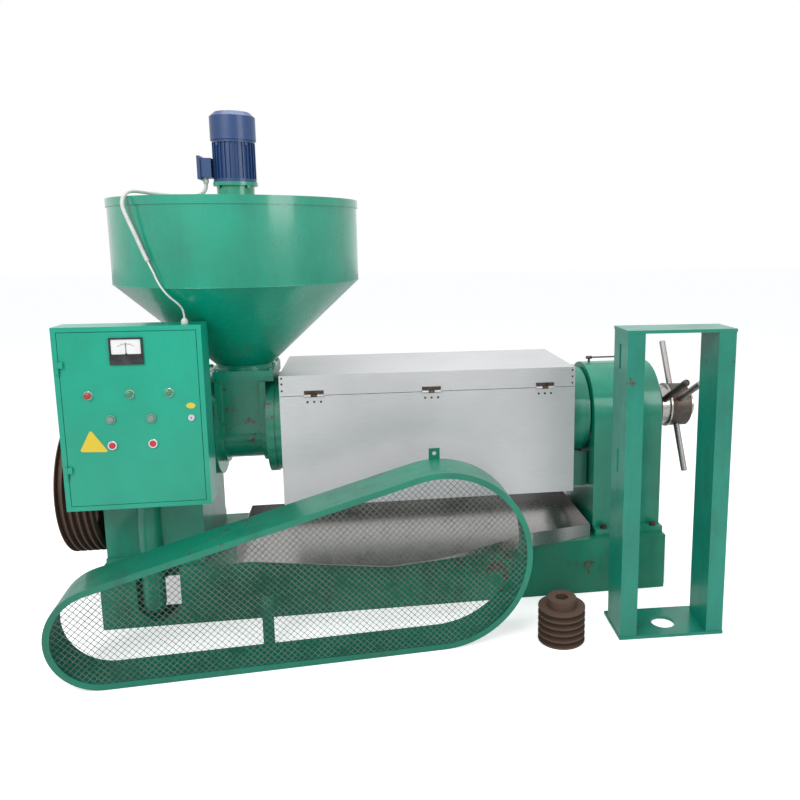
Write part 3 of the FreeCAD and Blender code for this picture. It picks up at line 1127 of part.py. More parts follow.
SLEEVE_ROUTE = (
    (-716, -20, 1733), (-716, -20, 1706), (-738, -56, 1684), (-768, -110, 1677), (-800, -166, 1677),
    (-832, -222, 1678), (-862, -276, 1680), (-892, -326, 1684), (-917, -358, 1684), (-933, -380, 1666),
    (-937, -389, 1632), (-921, -396, 1590), (-900, -405, 1543), (-881, -413, 1497), (-868, -421, 1467),
    (-855, -427, 1439))
THIN_ROUTE = (
    (-855, -427, 1439), (-846.16, -431.08, 1419.96), (-836, -437, 1401), (-825, -442, 1372),
    (-809, -443, 1342), (-792, -438, 1318), (-775, -427, 1299), (-761, -412, 1282),
    (-751, -397, 1258), (-751, -397, 1233))


def cable_tube(label, route, radius):
    """Tube of straight runs joined by tangent arcs as large as the runs allow."""
    points = [Vector(*point) for point in route]
    edges, start = [], points[0]
    smallest = 1e9
    for before, corner, after in zip(points, points[1:], points[2:]):
        into, out = (corner - before), (after - corner)
        shorter = min(into.Length, out.Length)
        into.normalize()
        out.normalize()
        turn = into.getAngle(out)
        bend = 0.45 * shorter / math.tan(turn / 2)
        smallest = min(smallest, bend)
        inset = 0.45 * shorter
        first, last = corner - into * inset, corner + out * inset
        middle_way = (out - into)
        middle_way.normalize()
        centre = corner + middle_way * (bend / math.cos(turn / 2))
        middle = centre - middle_way * bend
        edges.append(Part.LineSegment(start, first).toShape())
        edges.append(Part.Arc(first, middle, last).toShape())
        start = last
    edges.append(Part.LineSegment(start, points[-1]).toShape())
    path = Part.Wire(edges)
    heading = points[1] - points[0]
    circle = Part.Wire([Part.Circle(points[0], heading, radius).toShape()])
    tube = path.makePipeShell([circle], True, False)
    if tube.Volume < 0:
        tube.reverse()
    expected = math.pi * radius ** 2 * path.Length
    print(f"{label}: length {path.Length:.1f}, least radius {smallest:.1f}, "
          f"volume {tube.Volume:.0f} of {expected:.0f}")
    return solid_feature(label, tube)


def cables():
    """Control cable from the motor's terminal box to the cabinet, with its thick sleeve."""
    keep(cable_tube("cable_sleeve", SLEEVE_ROUTE, size("cable_sleeve_radius")))
    keep(cable_tube("motor_cable", THIN_ROUTE, size("cable_radius")))
    x, y, _ = THIN_ROUTE[-1]
    nut = turned("CabinetGland", [
        (f"{CABINET_TOP} - 8", "0"), (f"{CABINET_TOP} - 8", "8"), (CABINET_TOP, "8"), (CABINET_TOP, "12"),
        (f"{CABINET_TOP} + 10", "12"), (f"{CABINET_TOP} + 18", "7"), (f"{CABINET_TOP} + 18", "0")],
        "Z", str(x), str(y))
    x, y, z = SLEEVE_ROUTE[0]
    upper = turned("MotorGland", [
        (str(z), "0"), (str(z), "9"), (f"{z} + 4", "11"), ("terminal_bottom + 8", "11"),
        ("terminal_bottom + 8", "0")], "Z", str(x), str(y))
    return keep(group("cable_glands", nut, upper))


# ---------------------------------------------------------------- loose pieces of the set

def belt_outline(body, name, role, inset):
    """Sketch of the guard's outline: two arcs joined by their outer tangents."""
    sketch = body.newObject("Sketcher::SketchObject", name)
    plane = [item for item in body.Origin.OriginFeatures if item.Role == role][0]
    sketch.AttachmentSupport = (plane, [""])
    sketch.MapMode = "FlatFace"
    big, small = size(f"guard_big - {inset}"), size(f"guard_small - {inset}")
    base_big, base_small = size("guard_big"), size("guard_small")
    span = size("guard_length")
    left, right = Vector(0, base_small, 0), Vector(span, base_big, 0)
    axis = math.atan2(base_big - base_small, span)
    rise = math.asin((base_big - base_small) / math.hypot(span, base_big - base_small))
    upper = axis + math.pi / 2 + rise
    lower = axis - math.pi / 2 - rise
    normal = Vector(0, 0, 1)
    sketch.addGeometry(Part.ArcOfCircle(Part.Circle(left, normal, small), upper, lower + 2 * math.pi))
    sketch.addGeometry(Part.ArcOfCircle(Part.Circle(right, normal, big), lower, upper))

    def rim(centre, radius, angle):
        return centre + Vector(math.cos(angle), math.sin(angle), 0) * radius

    sketch.addGeometry(Part.LineSegment(rim(left, small, lower), rim(right, big, lower)))
    sketch.addGeometry(Part.LineSegment(rim(right, big, upper), rim(left, small, upper)))
    for arc, (radius, x, y) in enumerate((
            (f"guard_small - {inset}", "0", "guard_small"),
            (f"guard_big - {inset}", "guard_length", "guard_big"))):
        item = sketch.addConstraint(Sketcher.Constraint("Radius", arc, size(radius)))
        sketch.setExpression(f"Constraints[{item}]", linked(radius))
        for kind, text in (("DistanceX", x), ("DistanceY", y)):
            item = sketch.addConstraint(Sketcher.Constraint(kind, -1, 1, arc, 3, size(text)))
            sketch.setExpression(f"Constraints[{item}]", linked(text))
    for first, first_end, second, second_end in ((0, 2, 2, 1), (2, 2, 1, 1), (1, 2, 3, 1), (3, 2, 0, 1)):
        sketch.addConstraint(Sketcher.Constraint("Tangent", first, first_end, second, second_end))
    return sketch


def guard_solid(label, inset, depth, start="0"):
    """Block with the guard's outline, growing back from its front face."""
    body = doc.addObject("PartDesign::Body", label)
    sketch = belt_outline(body, label + "Outline", "XZ_Plane", inset)
    pad = body.newObject("PartDesign::Pad", label + "Pad")
    pad.Profile = sketch
    pad.Reversed = True
    bind(pad, "Length", depth)
    return place(body, "0", start, "0")


def belt_guard():
    """Belt guard: rolled band with a front lip and lugs, and the mesh panel behind the lip."""
    outer = guard_solid("GuardOuter", "0", "guard_depth")
    hollow = guard_solid("GuardHollow", "guard_sheet", "guard_depth", "guard_sheet")
    mouth = guard_solid("GuardMouth", "guard_lip", "guard_depth + 2", "-1")
    lug = box("GuardLug", ("guard_length - 20", "guard_length + 22"), ("guard_depth - 4", "guard_depth"),
              ("2 * guard_big - 8", "2 * guard_big + 42"))
    lug_hole = rod("GuardLugHole", "8", "20", "guard_length + 1", "guard_depth - 10", "2 * guard_big + 22",
                   "Y")
    strip = box("GuardStrip", ("guard_length * 0.435", "guard_length * 0.435 + 42"),
                ("guard_depth - 3", "guard_depth"), ("1", "190"))
    whole = cut("guard_band", joined("GuardWelded", cut("GuardRim", outer, hollow, mouth), lug, strip),
                lug_hole)
    mesh = guard_solid("guard_mesh", "(guard_sheet + seat_gap)", "mesh_thick", "guard_sheet")
    turn = Rotation(Vector(0, 0, 1), size("guard_turn"))
    place(whole, "guard_x", "guard_y", "0", turn)
    place(mesh, "guard_x - guard_sheet * sin(guard_turn * 1 deg)",
          "guard_y + guard_sheet * cos(guard_turn * 1 deg)", "0", turn)
    keep(whole)
    return keep(mesh)


def motor_frame():
    """Upright frame of two channels between a top plate and a wider floor plate."""
    turn = Rotation(Vector(0, 0, 1), size("stand_turn"))
    inner_z = ("stand_plate", "stand_height - stand_plate")
    channels = []
    for i, x in enumerate(("0", "stand_width - channel_flange")):
        block = box(f"ChannelBlock{i}", (x, f"{x} + channel_flange"), ("0", "channel_depth"), inner_z)
        tools = [box(f"ChannelHollow{i}", (f"{x} + channel_thick", f"{x} + channel_flange + 1"),
                     ("channel_thick", "channel_depth - channel_thick"), ("0", "stand_height"))]
        if i == 0:
            tools += [
                box(f"ChannelSlot{j}", ("-1", "channel_thick + 1"),
                    ("channel_depth / 2 - slot_width / 2 + 5", "channel_depth / 2 + slot_width / 2 + 5"),
                    (z, f"{z} + slot_length"))
                for j, z in enumerate(("635", "1032"))]
        channels.append(cut(f"Channel{i}", block, *tools))
    both = group("stand_channels", *channels)
    top = box("StandTop", ("-2", "stand_width + 2"), ("-2", "channel_depth + 2"),
              ("stand_height - stand_plate", "stand_height"))
    foot = box("StandFoot", ("-2", "stand_width + 2"), ("-2", "stand_foot_depth"), ("0", "stand_plate"))
    hole = rod("StandHole", "stand_hole", "stand_plate + 2", "stand_width / 2", "channel_depth / 2 + 12", "-1")
    plates = group("stand_plates", top, cut("StandFootOpen", foot, hole))
    for piece in (both, plates):
        keep(place(piece, "stand_x", "stand_y", "0", turn))
    return plates


def motor_sheave():
    """Loose five-groove motor sheave standing on its end."""
    corners = [("0", "sheave_bore"), ("0", "sheave_radius")]
    count = int(size("groove_count"))
    for index in range(count):
        centre = f"(sheave_width / 2 + ({index} - (groove_count - 1) / 2) * groove_pitch)"
        corners += [
            (f"{centre} - groove_width / 2", "sheave_radius"),
            (f"{centre} - groove_floor / 2", "sheave_radius - groove_depth"),
            (f"{centre} + groove_floor / 2", "sheave_radius - groove_depth"),
            (f"{centre} + groove_width / 2", "sheave_radius")]
    top = "sheave_width + sheave_hub_rise"
    corners += [
        ("sheave_width", "sheave_radius"), ("sheave_width", "sheave_hub"), (top, "sheave_hub"),
        (top, "sheave_bore")]
    return keep(turned("motor_sheave", corners, "Z", "sheave_x", "sheave_y"))


# ---------------------------------------------------------------- build and export

for make in (
        base_frame, gearbox_housing, gearbox_top_cover, bearing_caps, gearbox_bearings, gear_train,
        drive_pulley, feed_housing, hopper, stirring_motor, stirrer, worm_shaft, worms, cage,
        clamp_bolts, discharge_flange, cake_chute, pedestal, adjusting_gear, lubrication_pipe,
        press_cover, cover_door, oil_tray, cabinet_box, cabinet_brackets, cabinet_door,
        door_fittings, cables, belt_guard, motor_frame, motor_sheave):
    make()
doc.recompute()

os.makedirs("parts", exist_ok=True)
problems = []
for item in doc.Objects:
    if "Invalid" in item.State or "Error" in item.State:
        problems.append(f"{item.Label}: {item.State}")
total = 0
for piece in PIECES:
    shape = piece.Shape
    if shape.isNull() or not shape.isValid() or not shape.Solids:
        problems.append(f"{piece.Label}: no valid solid")
        continue
    shape.exportStep(f"parts/{piece.Label}.step")
    facets = len(shape.tessellate(0.5)[1])
    total += facets
    limits = shape.BoundBox
    print(f"{piece.Label}: {len(shape.Solids)} solids, {facets} facets, {shape.Volume / 1e3:.0f} cm3, "
          f"x {limits.XMin:.1f}..{limits.XMax:.1f}, y {limits.YMin:.1f}..{limits.YMax:.1f}, "
          f"z {limits.ZMin:.1f}..{limits.ZMax:.1f}")
print(f"{len(PIECES)} pieces, {total} facets")
if problems:
    raise RuntimeError("; ".join(problems))
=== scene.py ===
"""Looks of the screw oil press: finishes, cable, wire guard, ribbed bars and door fittings.

Everything is in metres in the frame of the solids: +X along the machine to the adjusting nut,
+Y to the back, +Z up.
"""
from __future__ import annotations

import json
import logging
import math
from dataclasses import dataclass, field
from enum import Enum

import bpy
import numpy as np
from mathutils import Matrix, Vector

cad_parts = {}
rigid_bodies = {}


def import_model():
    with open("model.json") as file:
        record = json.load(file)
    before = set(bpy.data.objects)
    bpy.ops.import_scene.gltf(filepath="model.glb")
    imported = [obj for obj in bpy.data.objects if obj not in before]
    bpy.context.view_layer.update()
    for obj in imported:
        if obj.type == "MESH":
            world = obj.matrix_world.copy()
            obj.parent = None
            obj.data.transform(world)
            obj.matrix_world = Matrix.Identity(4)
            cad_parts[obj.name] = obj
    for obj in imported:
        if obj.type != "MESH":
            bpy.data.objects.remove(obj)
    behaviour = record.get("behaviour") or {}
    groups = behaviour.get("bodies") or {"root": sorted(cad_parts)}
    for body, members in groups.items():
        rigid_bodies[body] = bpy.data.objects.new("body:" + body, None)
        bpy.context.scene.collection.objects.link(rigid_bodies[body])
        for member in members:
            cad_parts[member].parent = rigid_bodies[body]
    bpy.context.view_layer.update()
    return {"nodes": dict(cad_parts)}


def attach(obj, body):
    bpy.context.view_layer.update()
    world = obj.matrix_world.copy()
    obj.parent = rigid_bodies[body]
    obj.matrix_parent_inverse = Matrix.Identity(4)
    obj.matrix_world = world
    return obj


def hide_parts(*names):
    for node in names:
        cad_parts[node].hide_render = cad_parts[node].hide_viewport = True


LOG = logging.getLogger("oil_press")
ROOT = "press_frame"


# ---------------------------------------------------------------- meshes from surfaces

def mesh_piece(name: str, points: np.ndarray, faces: list, smooth: bool = True) -> bpy.types.Object:
    """Makes an object at the origin from points and faces.

    Args:
        name: name of the new piece.
        points: corner positions, one row each, in metres.
        faces: tuples of corner numbers.
        smooth: whether the faces are shaded smooth.

    Returns:
        The linked object.
    """
    mesh = bpy.data.meshes.new(name)
    mesh.from_pydata([tuple(map(float, p)) for p in points], [], [tuple(map(int, f)) for f in faces])
    mesh.validate()
    mesh.update()
    mesh.polygons.foreach_set("use_smooth", [smooth] * len(mesh.polygons))
    piece = bpy.data.objects.new(name, mesh)
    bpy.context.scene.collection.objects.link(piece)
    return piece


def grid_faces(rows: int, columns: int, close_rows: bool = False, close_columns: bool = False,
               start: int = 0) -> list:
    """Quads of a grid of points stored row by row.

    Args:
        rows: number of rows.
        columns: number of points in a row.
        close_rows: joins the last row to the first.
        close_columns: joins the last column to the first.
        start: number of the first point.

    Returns:
        The quads as tuples of point numbers.
    """
    i = np.arange(rows if close_rows else rows - 1)[:, None]
    j = np.arange(columns if close_columns else columns - 1)[None, :]
    a = i * columns + j
    b = i * columns + (j + 1) % columns
    c = ((i + 1) % rows) * columns + (j + 1) % columns
    d = ((i + 1) % rows) * columns + j
    quads = np.stack([a, b, c, d], axis=-1).reshape(-1, 4) + start
    return [tuple(q) for q in quads]


def turned_surface(name: str, profile: list, origin: tuple, axis: tuple, sides: int = 48) -> bpy.types.Object:
    """Surface of revolution: a profile of (along, radius) pairs turned about an axis.

    Points are origin + along * axis + radius * (cos t * e1 + sin t * e2), closed at both ends.

    Args:
        name: name of the new piece.
        profile: pairs of height along the axis and radius, in order along the outline.
        origin: a point on the axis.
        axis: direction of the axis.
        sides: points round the axis.

    Returns:
        The new piece.
    """
    w = np.array(axis, float) / np.linalg.norm(axis)
    u = np.cross(w, (0.0, 0.0, 1.0) if abs(w[2]) < 0.9 else (1.0, 0.0, 0.0))
    u /= np.linalg.norm(u)
    v = np.cross(w, u)
    angle = np.arange(sides) * 2 * np.pi / sides
    ring = np.cos(angle)[:, None] * u + np.sin(angle)[:, None] * v
    rows = np.array(profile, float)
    points = (np.array(origin) + rows[:, 0][:, None, None] * w
              + rows[:, 1][:, None, None] * ring[None, :, :]).reshape(-1, 3)
    faces = grid_faces(len(rows), sides, close_columns=True)
    faces.append(tuple(range(sides))[::-1])
    faces.append(tuple(range((len(rows) - 1) * sides, len(rows) * sides)))
    piece = mesh_piece(name, points, faces)
    crease(piece, 35)
    return piece


def crease(piece: bpy.types.Object, degrees: float) -> None:
    """Splits the smooth shading at edges sharper than an angle."""
    limit = math.radians(degrees)
    mesh = piece.data
    normals = {}
    for polygon in mesh.polygons:
        for key in polygon.edge_keys:
            normals.setdefault(key, []).append(polygon.normal)
    sharp = [
        len(normals.get(edge.key, ())) == 2 and normals[edge.key][0].angle(normals[edge.key][1], 0) > limit
        for edge in mesh.edges]
    mesh.edges.foreach_set("use_edge_sharp", sharp)


def rounded_plate(name: str, centre: tuple, half_x: float, half_z: float, radius: float, front: float,
                  back: float, steps: int = 8) -> bpy.types.Object:
    """Flat plate facing -Y with round corners and a small front bevel.

    Its outline is a rectangle whose corners are quarter circles; the outline is repeated at the
    back, at the front and once more inset at the very front.

    Args:
        name: name of the new piece.
        centre: x and z of the middle.
        half_x: half width.
        half_z: half height.
        radius: corner radius.
        front: y of the front face.
        back: y of the back face.
        steps: points in a quarter circle.

    Returns:
        The new piece.
    """
    t = np.linspace(0, np.pi / 2, steps)
    corner = np.concatenate([t, t + np.pi / 2, t + np.pi, t + 3 * np.pi / 2])
    sx = np.repeat([1, -1, -1, 1], steps) * (half_x - radius)
    sz = np.repeat([1, 1, -1, -1], steps) * (half_z - radius)
    bevel = min(0.0008, radius * 0.5, (back - front) * 0.4)
    rings = []
    for y, inset in ((back, 0.0), (front + bevel, 0.0), (front, bevel)):
        r = radius - inset
        rings.append(np.stack([centre[0] + sx + r * np.cos(corner), np.full(corner.shape, y),
                               centre[1] + sz + r * np.sin(corner)], axis=1))
    count = len(corner)
    faces = grid_faces(3, count, close_columns=True)
    faces.append(tuple(range(count))[::-1])
    faces.append(tuple(range(2 * count, 3 * count)))
    piece = mesh_piece(name, np.concatenate(rings), faces)
    fix_normals(piece)
    crease(piece, 30)
    return piece


def fix_normals(piece: bpy.types.Object) -> None:
    """Turns the faces of a closed piece outwards."""
    import bmesh
    work = bmesh.new()
    work.from_mesh(piece.data)
    bmesh.ops.recalc_face_normals(work, faces=work.faces)
    work.to_mesh(piece.data)
    work.free()


# ---------------------------------------------------------------- finishes

class Nodes:
    """Small helper that adds and links shader nodes of one material."""

    def __init__(self, name: str) -> None:
        """Starts a material with a Principled shader and an output."""
        self.material = bpy.data.materials.new(name)
        self.material.use_nodes = True
        self.tree = self.material.node_tree
        self.tree.nodes.clear()
        self.output = self.tree.nodes.new("ShaderNodeOutputMaterial")
        self.shader = self.tree.nodes.new("ShaderNodeBsdfPrincipled")
        self.link(self.shader, "BSDF", self.output, "Surface")
        self.place = self.tree.nodes.new("ShaderNodeTexCoord")

    def link(self, a: bpy.types.Node, out: str, b: bpy.types.Node, into: str) -> None:
        """Links an output to an input."""
        self.tree.links.new(a.outputs[out], b.inputs[into])

    def mapping(self, scale: tuple = (1, 1, 1), turn: tuple = (0, 0, 0)) -> bpy.types.Node:
        """Object coordinates, scaled and turned."""
        node = self.tree.nodes.new("ShaderNodeMapping")
        node.inputs["Scale"].default_value = scale
        node.inputs["Rotation"].default_value = turn
        self.link(self.place, "Object", node, "Vector")
        return node

    def noise(self, scale: float, detail: float = 4, rough: float = 0.6, source: bpy.types.Node = None
              ) -> bpy.types.Node:
        """Noise on object coordinates or a mapping."""
        node = self.tree.nodes.new("ShaderNodeTexNoise")
        node.inputs["Scale"].default_value = scale
        node.inputs["Detail"].default_value = detail
        node.inputs["Roughness"].default_value = rough
        if source is None:
            self.link(self.place, "Object", node, "Vector")
        else:
            self.link(source, "Vector", node, "Vector")
        return node

    def ramp(self, source: bpy.types.Node, out: str, stops: list) -> bpy.types.Node:
        """Colour ramp of (position, colour) stops; a number stands for a grey."""
        node = self.tree.nodes.new("ShaderNodeValToRGB")
        elements = node.color_ramp.elements
        while len(elements) < len(stops):
            elements.new(0.5)
        for element, (position, colour) in zip(elements, stops):
            element.position = position
            grey = (colour,) * 3 if isinstance(colour, (int, float)) else tuple(colour)
            element.color = (*grey, 1)
        self.link(source, out, node, "Fac")
        return node

    def mix(self, amount: tuple, low: object, high: object, how: str = "MIX") -> bpy.types.Node:
        """Mixes two colours; each is a colour or a (node, output) pair."""
        node = self.tree.nodes.new("ShaderNodeMix")
        node.data_type = "RGBA"
        node.blend_type = how
        if isinstance(amount, (int, float)):
            node.inputs[0].default_value = amount
        else:
            self.tree.links.new(amount[0].outputs[amount[1]], node.inputs[0])
        for slot, value in ((6, low), (7, high)):
            if isinstance(value[0], bpy.types.Node):
                self.tree.links.new(value[0].outputs[value[1]], node.inputs[slot])
            else:
                node.inputs[slot].default_value = (*value, 1)
        return node

    def colour(self, node: bpy.types.Node, out: object = 2) -> None:
        """Drives the base colour."""
        self.tree.links.new(node.outputs[out], self.shader.inputs["Base Color"])

    def rough(self, source: bpy.types.Node, out: str, low: float, high: float) -> None:
        """Drives roughness from a texture, between two values."""
        node = self.tree.nodes.new("ShaderNodeMapRange")
        node.inputs["To Min"].default_value = low
        node.inputs["To Max"].default_value = high
        self.link(source, out, node, "Value")
        self.link(node, "Result", self.shader, "Roughness")

    def bump(self, *layers: tuple) -> None:
        """Stacks bumps: each layer is (node, output, strength, distance)."""
        before = None
        for source, out, strength, distance in layers:
            node = self.tree.nodes.new("ShaderNodeBump")
            node.inputs["Strength"].default_value = strength
            node.inputs["Distance"].default_value = distance
            self.link(source, out, node, "Height")
            if before is not None:
                self.link(before, "Normal", node, "Normal")
            before = node
        self.link(before, "Normal", self.shader, "Normal")


@dataclass(frozen=True)
class Enamel:
    """Brushed or hammered enamel with faded patches, oily grime and chips down to dark iron."""

    name: str
    colour: tuple
    shade: tuple
    gloss: float = 0.25
    coat: float = 0.3
    hammer: float = 0.0
    chips: float = 0.0
    grime: float = 0.35

    def build(self) -> bpy.types.Material:
        """Makes the material: large patches, drips of grime, chips and hammered relief."""
        kit = Nodes(self.name)
        kit.shader.inputs["Coat Weight"].default_value = self.coat
        kit.shader.inputs["Coat Roughness"].default_value = 0.12
        patches = kit.noise(2.3, 5, 0.62)
        body = kit.ramp(patches, "Fac", [(0.3, self.shade), (0.62, self.colour)])
        runs = kit.noise(9, 6, 0.7, kit.mapping((1, 1, 0.25)))
        dirt = kit.ramp(runs, "Fac", [(0.52, 0.0), (0.74, self.grime)])
        layer = kit.mix((dirt, "Color"), (body, "Color"), tuple(0.35 * c + 0.01 for c in self.shade))
        spots = kit.noise(26, 5, 0.75)
        where = kit.noise(3.1, 2, 0.5)
        both = kit.tree.nodes.new("ShaderNodeMath")
        both.operation = "MULTIPLY"
        kit.link(spots, "Fac", both, 0)
        kit.link(where, "Fac", both, 1)
        edge = 0.44 - 0.09 * self.chips
        chip = kit.ramp(both, "Value", [(edge, 0.0), (edge + 0.012, 1.0 if self.chips else 0.0)])
        top = kit.mix((chip, "Color"), (layer, 2), (0.07, 0.045, 0.033))
        kit.colour(top)
        kit.rough(runs, "Fac", self.gloss, self.gloss + 0.3)
        relief = kit.noise(150, 2, 0.5)
        layers = [(relief, "Fac", 0.06 + 0.6 * self.hammer, 0.0012), (patches, "Fac", 0.12, 0.004)]
        if self.chips:
            layers.append((chip, "Color", -0.35, 0.0006))
        kit.bump(*layers)
        return kit.material


@dataclass(frozen=True)
class SheetSteel:
    """Stainless sheet with fine scratches one way, soft clouds and small rust stains."""

    name: str
    colour: tuple = (0.66, 0.66, 0.67)
    low: float = 0.28
    high: float = 0.5
    metal: float = 0.85
    stains: float = 0.3
    along: tuple = (1.5, 60, 60)

    def build(self) -> bpy.types.Material:
        """Makes the material: stretched grain, clouds in the tint and scattered stains."""
        kit = Nodes(self.name)
        kit.shader.inputs["Metallic"].default_value = self.metal
        grain = kit.noise(12, 6, 0.7, kit.mapping(self.along))
        clouds = kit.noise(1.7, 4, 0.55)
        tint = kit.ramp(clouds, "Fac", [(0.3, tuple(0.82 * c for c in self.colour)), (0.7, self.colour)])
        fine = kit.ramp(grain, "Fac", [(0.3, 0.86), (0.7, 1.0)])
        body = kit.mix(1.0, (tint, "Color"), (fine, "Color"), "MULTIPLY")
        spots = kit.noise(17, 6, 0.8)
        stain = kit.ramp(spots, "Fac", [(0.69, 0.0), (0.76, self.stains)])
        kit.colour(kit.mix((stain, "Color"), (body, 2), (0.16, 0.09, 0.05)))
        kit.rough(grain, "Fac", self.low, self.high)
        kit.bump((grain, "Fac", 0.12, 0.0005), (clouds, "Fac", 0.25, 0.004))
        return kit.material


@dataclass(frozen=True)
class Iron:
    """Bare iron or steel with brown rust bloom and dark oil."""

    name: str
    metal_colour: tuple
    rust: tuple = (0.11, 0.055, 0.03)
    amount: float = 0.5
    metal: float = 0.7
    low: float = 0.4
    high: float = 0.75
    pits: float = 0.3

    def build(self) -> bpy.types.Material:
        """Makes the material: rust blooms over metal, pitted where it is rusty."""
        kit = Nodes(self.name)
        kit.shader.inputs["Metallic"].default_value = self.metal
        bloom = kit.noise(14, 8, 0.72)
        edge = 0.68 - 0.4 * self.amount
        where = kit.ramp(bloom, "Fac", [(edge, 0.0), (edge + 0.16, 1.0)])
        fine = kit.noise(90, 5, 0.7)
        rust = kit.ramp(fine, "Fac", [(0.3, tuple(0.45 * c for c in self.rust)), (0.7, self.rust)])
        bare = kit.ramp(fine, "Fac", [(0.3, tuple(0.75 * c for c in self.metal_colour)),
                                      (0.7, self.metal_colour)])
        kit.colour(kit.mix((where, "Color"), (bare, "Color"), (rust, "Color")))
        kit.rough(bloom, "Fac", self.low, self.high)
        kit.bump((fine, "Fac", self.pits, 0.001), (bloom, "Fac", 0.2, 0.002))
        return kit.material


@dataclass(frozen=True)
class Moulded:
    """Moulded plastic or rubber with faint dust and a fine moulded grain."""

    name: str
    colour: tuple
    low: float = 0.3
    high: float = 0.5
    dust: tuple = (0.4, 0.38, 0.35)
    dusty: float = 0.12
    clear: float = 0.0

    def build(self) -> bpy.types.Material:
        """Makes the material: base colour, dust in patches, fine grain."""
        kit = Nodes(self.name)
        kit.shader.inputs["Transmission Weight"].default_value = self.clear
        kit.shader.inputs["IOR"].default_value = 1.47
        patches = kit.noise(30, 4, 0.6)
        where = kit.ramp(patches, "Fac", [(0.45, 0.0), (0.75, self.dusty)])
        kit.colour(kit.mix((where, "Color"), self.colour, self.dust))
        kit.rough(patches, "Fac", self.low, self.high)
        grain = kit.noise(700, 2, 0.5)
        kit.bump((grain, "Fac", 0.1, 0.0002))
        return kit.material


class Paint(Enum):
    """Every finish of the machine."""

    HAMMERED = Enamel("hammered_green", (0.004, 0.275, 0.165), (0.002, 0.17, 0.10), 0.16, 0.5, 0.7, 0.55, 0.5)
    HOPPER = Enamel("hopper_green", (0.0, 0.30, 0.185), (0.0, 0.20, 0.12), 0.14, 0.6, 0.05, 0.0, 0.25)
    GEARBOX = Enamel("casting_green", (0.0, 0.24, 0.145), (0.0, 0.14, 0.085), 0.22, 0.4, 0.25, 0.35, 0.5)
    BASE = Enamel("base_green", (0.0, 0.20, 0.115), (0.0, 0.125, 0.072), 0.33, 0.2, 0.15, 0.75, 0.6)
    FRAME = Enamel("frame_green", (0.0, 0.225, 0.15), (0.0, 0.15, 0.10), 0.24, 0.3, 0.55, 0.5, 0.4)
    GUARD = Enamel("guard_green", (0.0, 0.20, 0.12), (0.0, 0.13, 0.08), 0.3, 0.25, 0.2, 0.6, 0.5)
    CABINET = Enamel("cabinet_green", (0.0, 0.36, 0.23), (0.0, 0.29, 0.18), 0.22, 0.35, 0.12, 0.0, 0.12)
    MOTOR = Enamel("motor_blue", (0.012, 0.05, 0.17), (0.008, 0.032, 0.11), 0.3, 0.2, 0.15, 0.3, 0.4)
    STAINLESS = SheetSteel("stainless_hood", (0.70, 0.70, 0.71), 0.3, 0.5, 0.7, 0.5)
    HOOD_TOP = SheetSteel("stainless_top", (0.60, 0.565, 0.51), 0.45, 0.65, 0.45, 0.35)
    # Oil tray stainless is painted darker than the hood's: painted shade standing in for the shadow reflected
    # in the tray's curved sheet.
    TRAY = SheetSteel("stainless_tray_painted_shade", (0.42, 0.41, 0.40), 0.16, 0.34, 0.95, 0.25, (40, 3, 40))
    TURNED = Iron("turned_steel", (0.52, 0.51, 0.49), (0.2, 0.15, 0.11), 0.15, 0.9, 0.18, 0.4, 0.06)
    DARK = Iron("oiled_steel", (0.11, 0.095, 0.085), (0.10, 0.055, 0.035), 0.6, 0.75, 0.35, 0.6, 0.2)
    RUSTY = Iron("rusty_iron", (0.13, 0.10, 0.08), (0.13, 0.075, 0.048), 0.85, 0.35, 0.55, 0.85, 0.5)
    BAR = Iron("bar_steel", (0.34, 0.32, 0.30), (0.15, 0.10, 0.075), 0.4, 0.85, 0.28, 0.5, 0.15)
    WIRE = Iron("guard_wire", (0.22, 0.25, 0.22), (0.08, 0.12, 0.09), 0.5, 0.6, 0.4, 0.6, 0.1)
    CHROME = Iron("chrome_trim", (0.72, 0.72, 0.73), (0.4, 0.38, 0.35), 0.02, 1.0, 0.08, 0.2, 0.02)
    BLACK = Moulded("black_plastic", (0.018, 0.018, 0.02), 0.25, 0.45)
    WHITE = Moulded("meter_scale", (0.78, 0.78, 0.76), 0.35, 0.5, (0.5, 0.48, 0.44), 0.2)
    YELLOW = Moulded("yellow_plate", (0.70, 0.52, 0.03), 0.35, 0.5)
    RED = Moulded("red_plastic", (0.55, 0.02, 0.02), 0.15, 0.3)
    RED_LENS = Moulded("red_lens", (0.50, 0.035, 0.03), 0.12, 0.25, clear=0.25)
    GREEN_LENS = Moulded("green_lens", (0.06, 0.30, 0.14), 0.12, 0.25, clear=0.25)
    GREY_GREEN = Moulded("grey_green_plastic", (0.22, 0.36, 0.30), 0.15, 0.3, clear=0.2)
    JACKET = Moulded("white_jacket", (0.68, 0.68, 0.66), 0.4, 0.6, (0.35, 0.32, 0.28), 0.35)
    SLEEVE = Moulded("pale_sleeve", (0.60, 0.60, 0.57), 0.4, 0.6, (0.32, 0.29, 0.25), 0.4)

    def material(self) -> bpy.types.Material:
        """The built material, made once."""
        found = bpy.data.materials.get(self.value.name)
        return found or self.value.build()


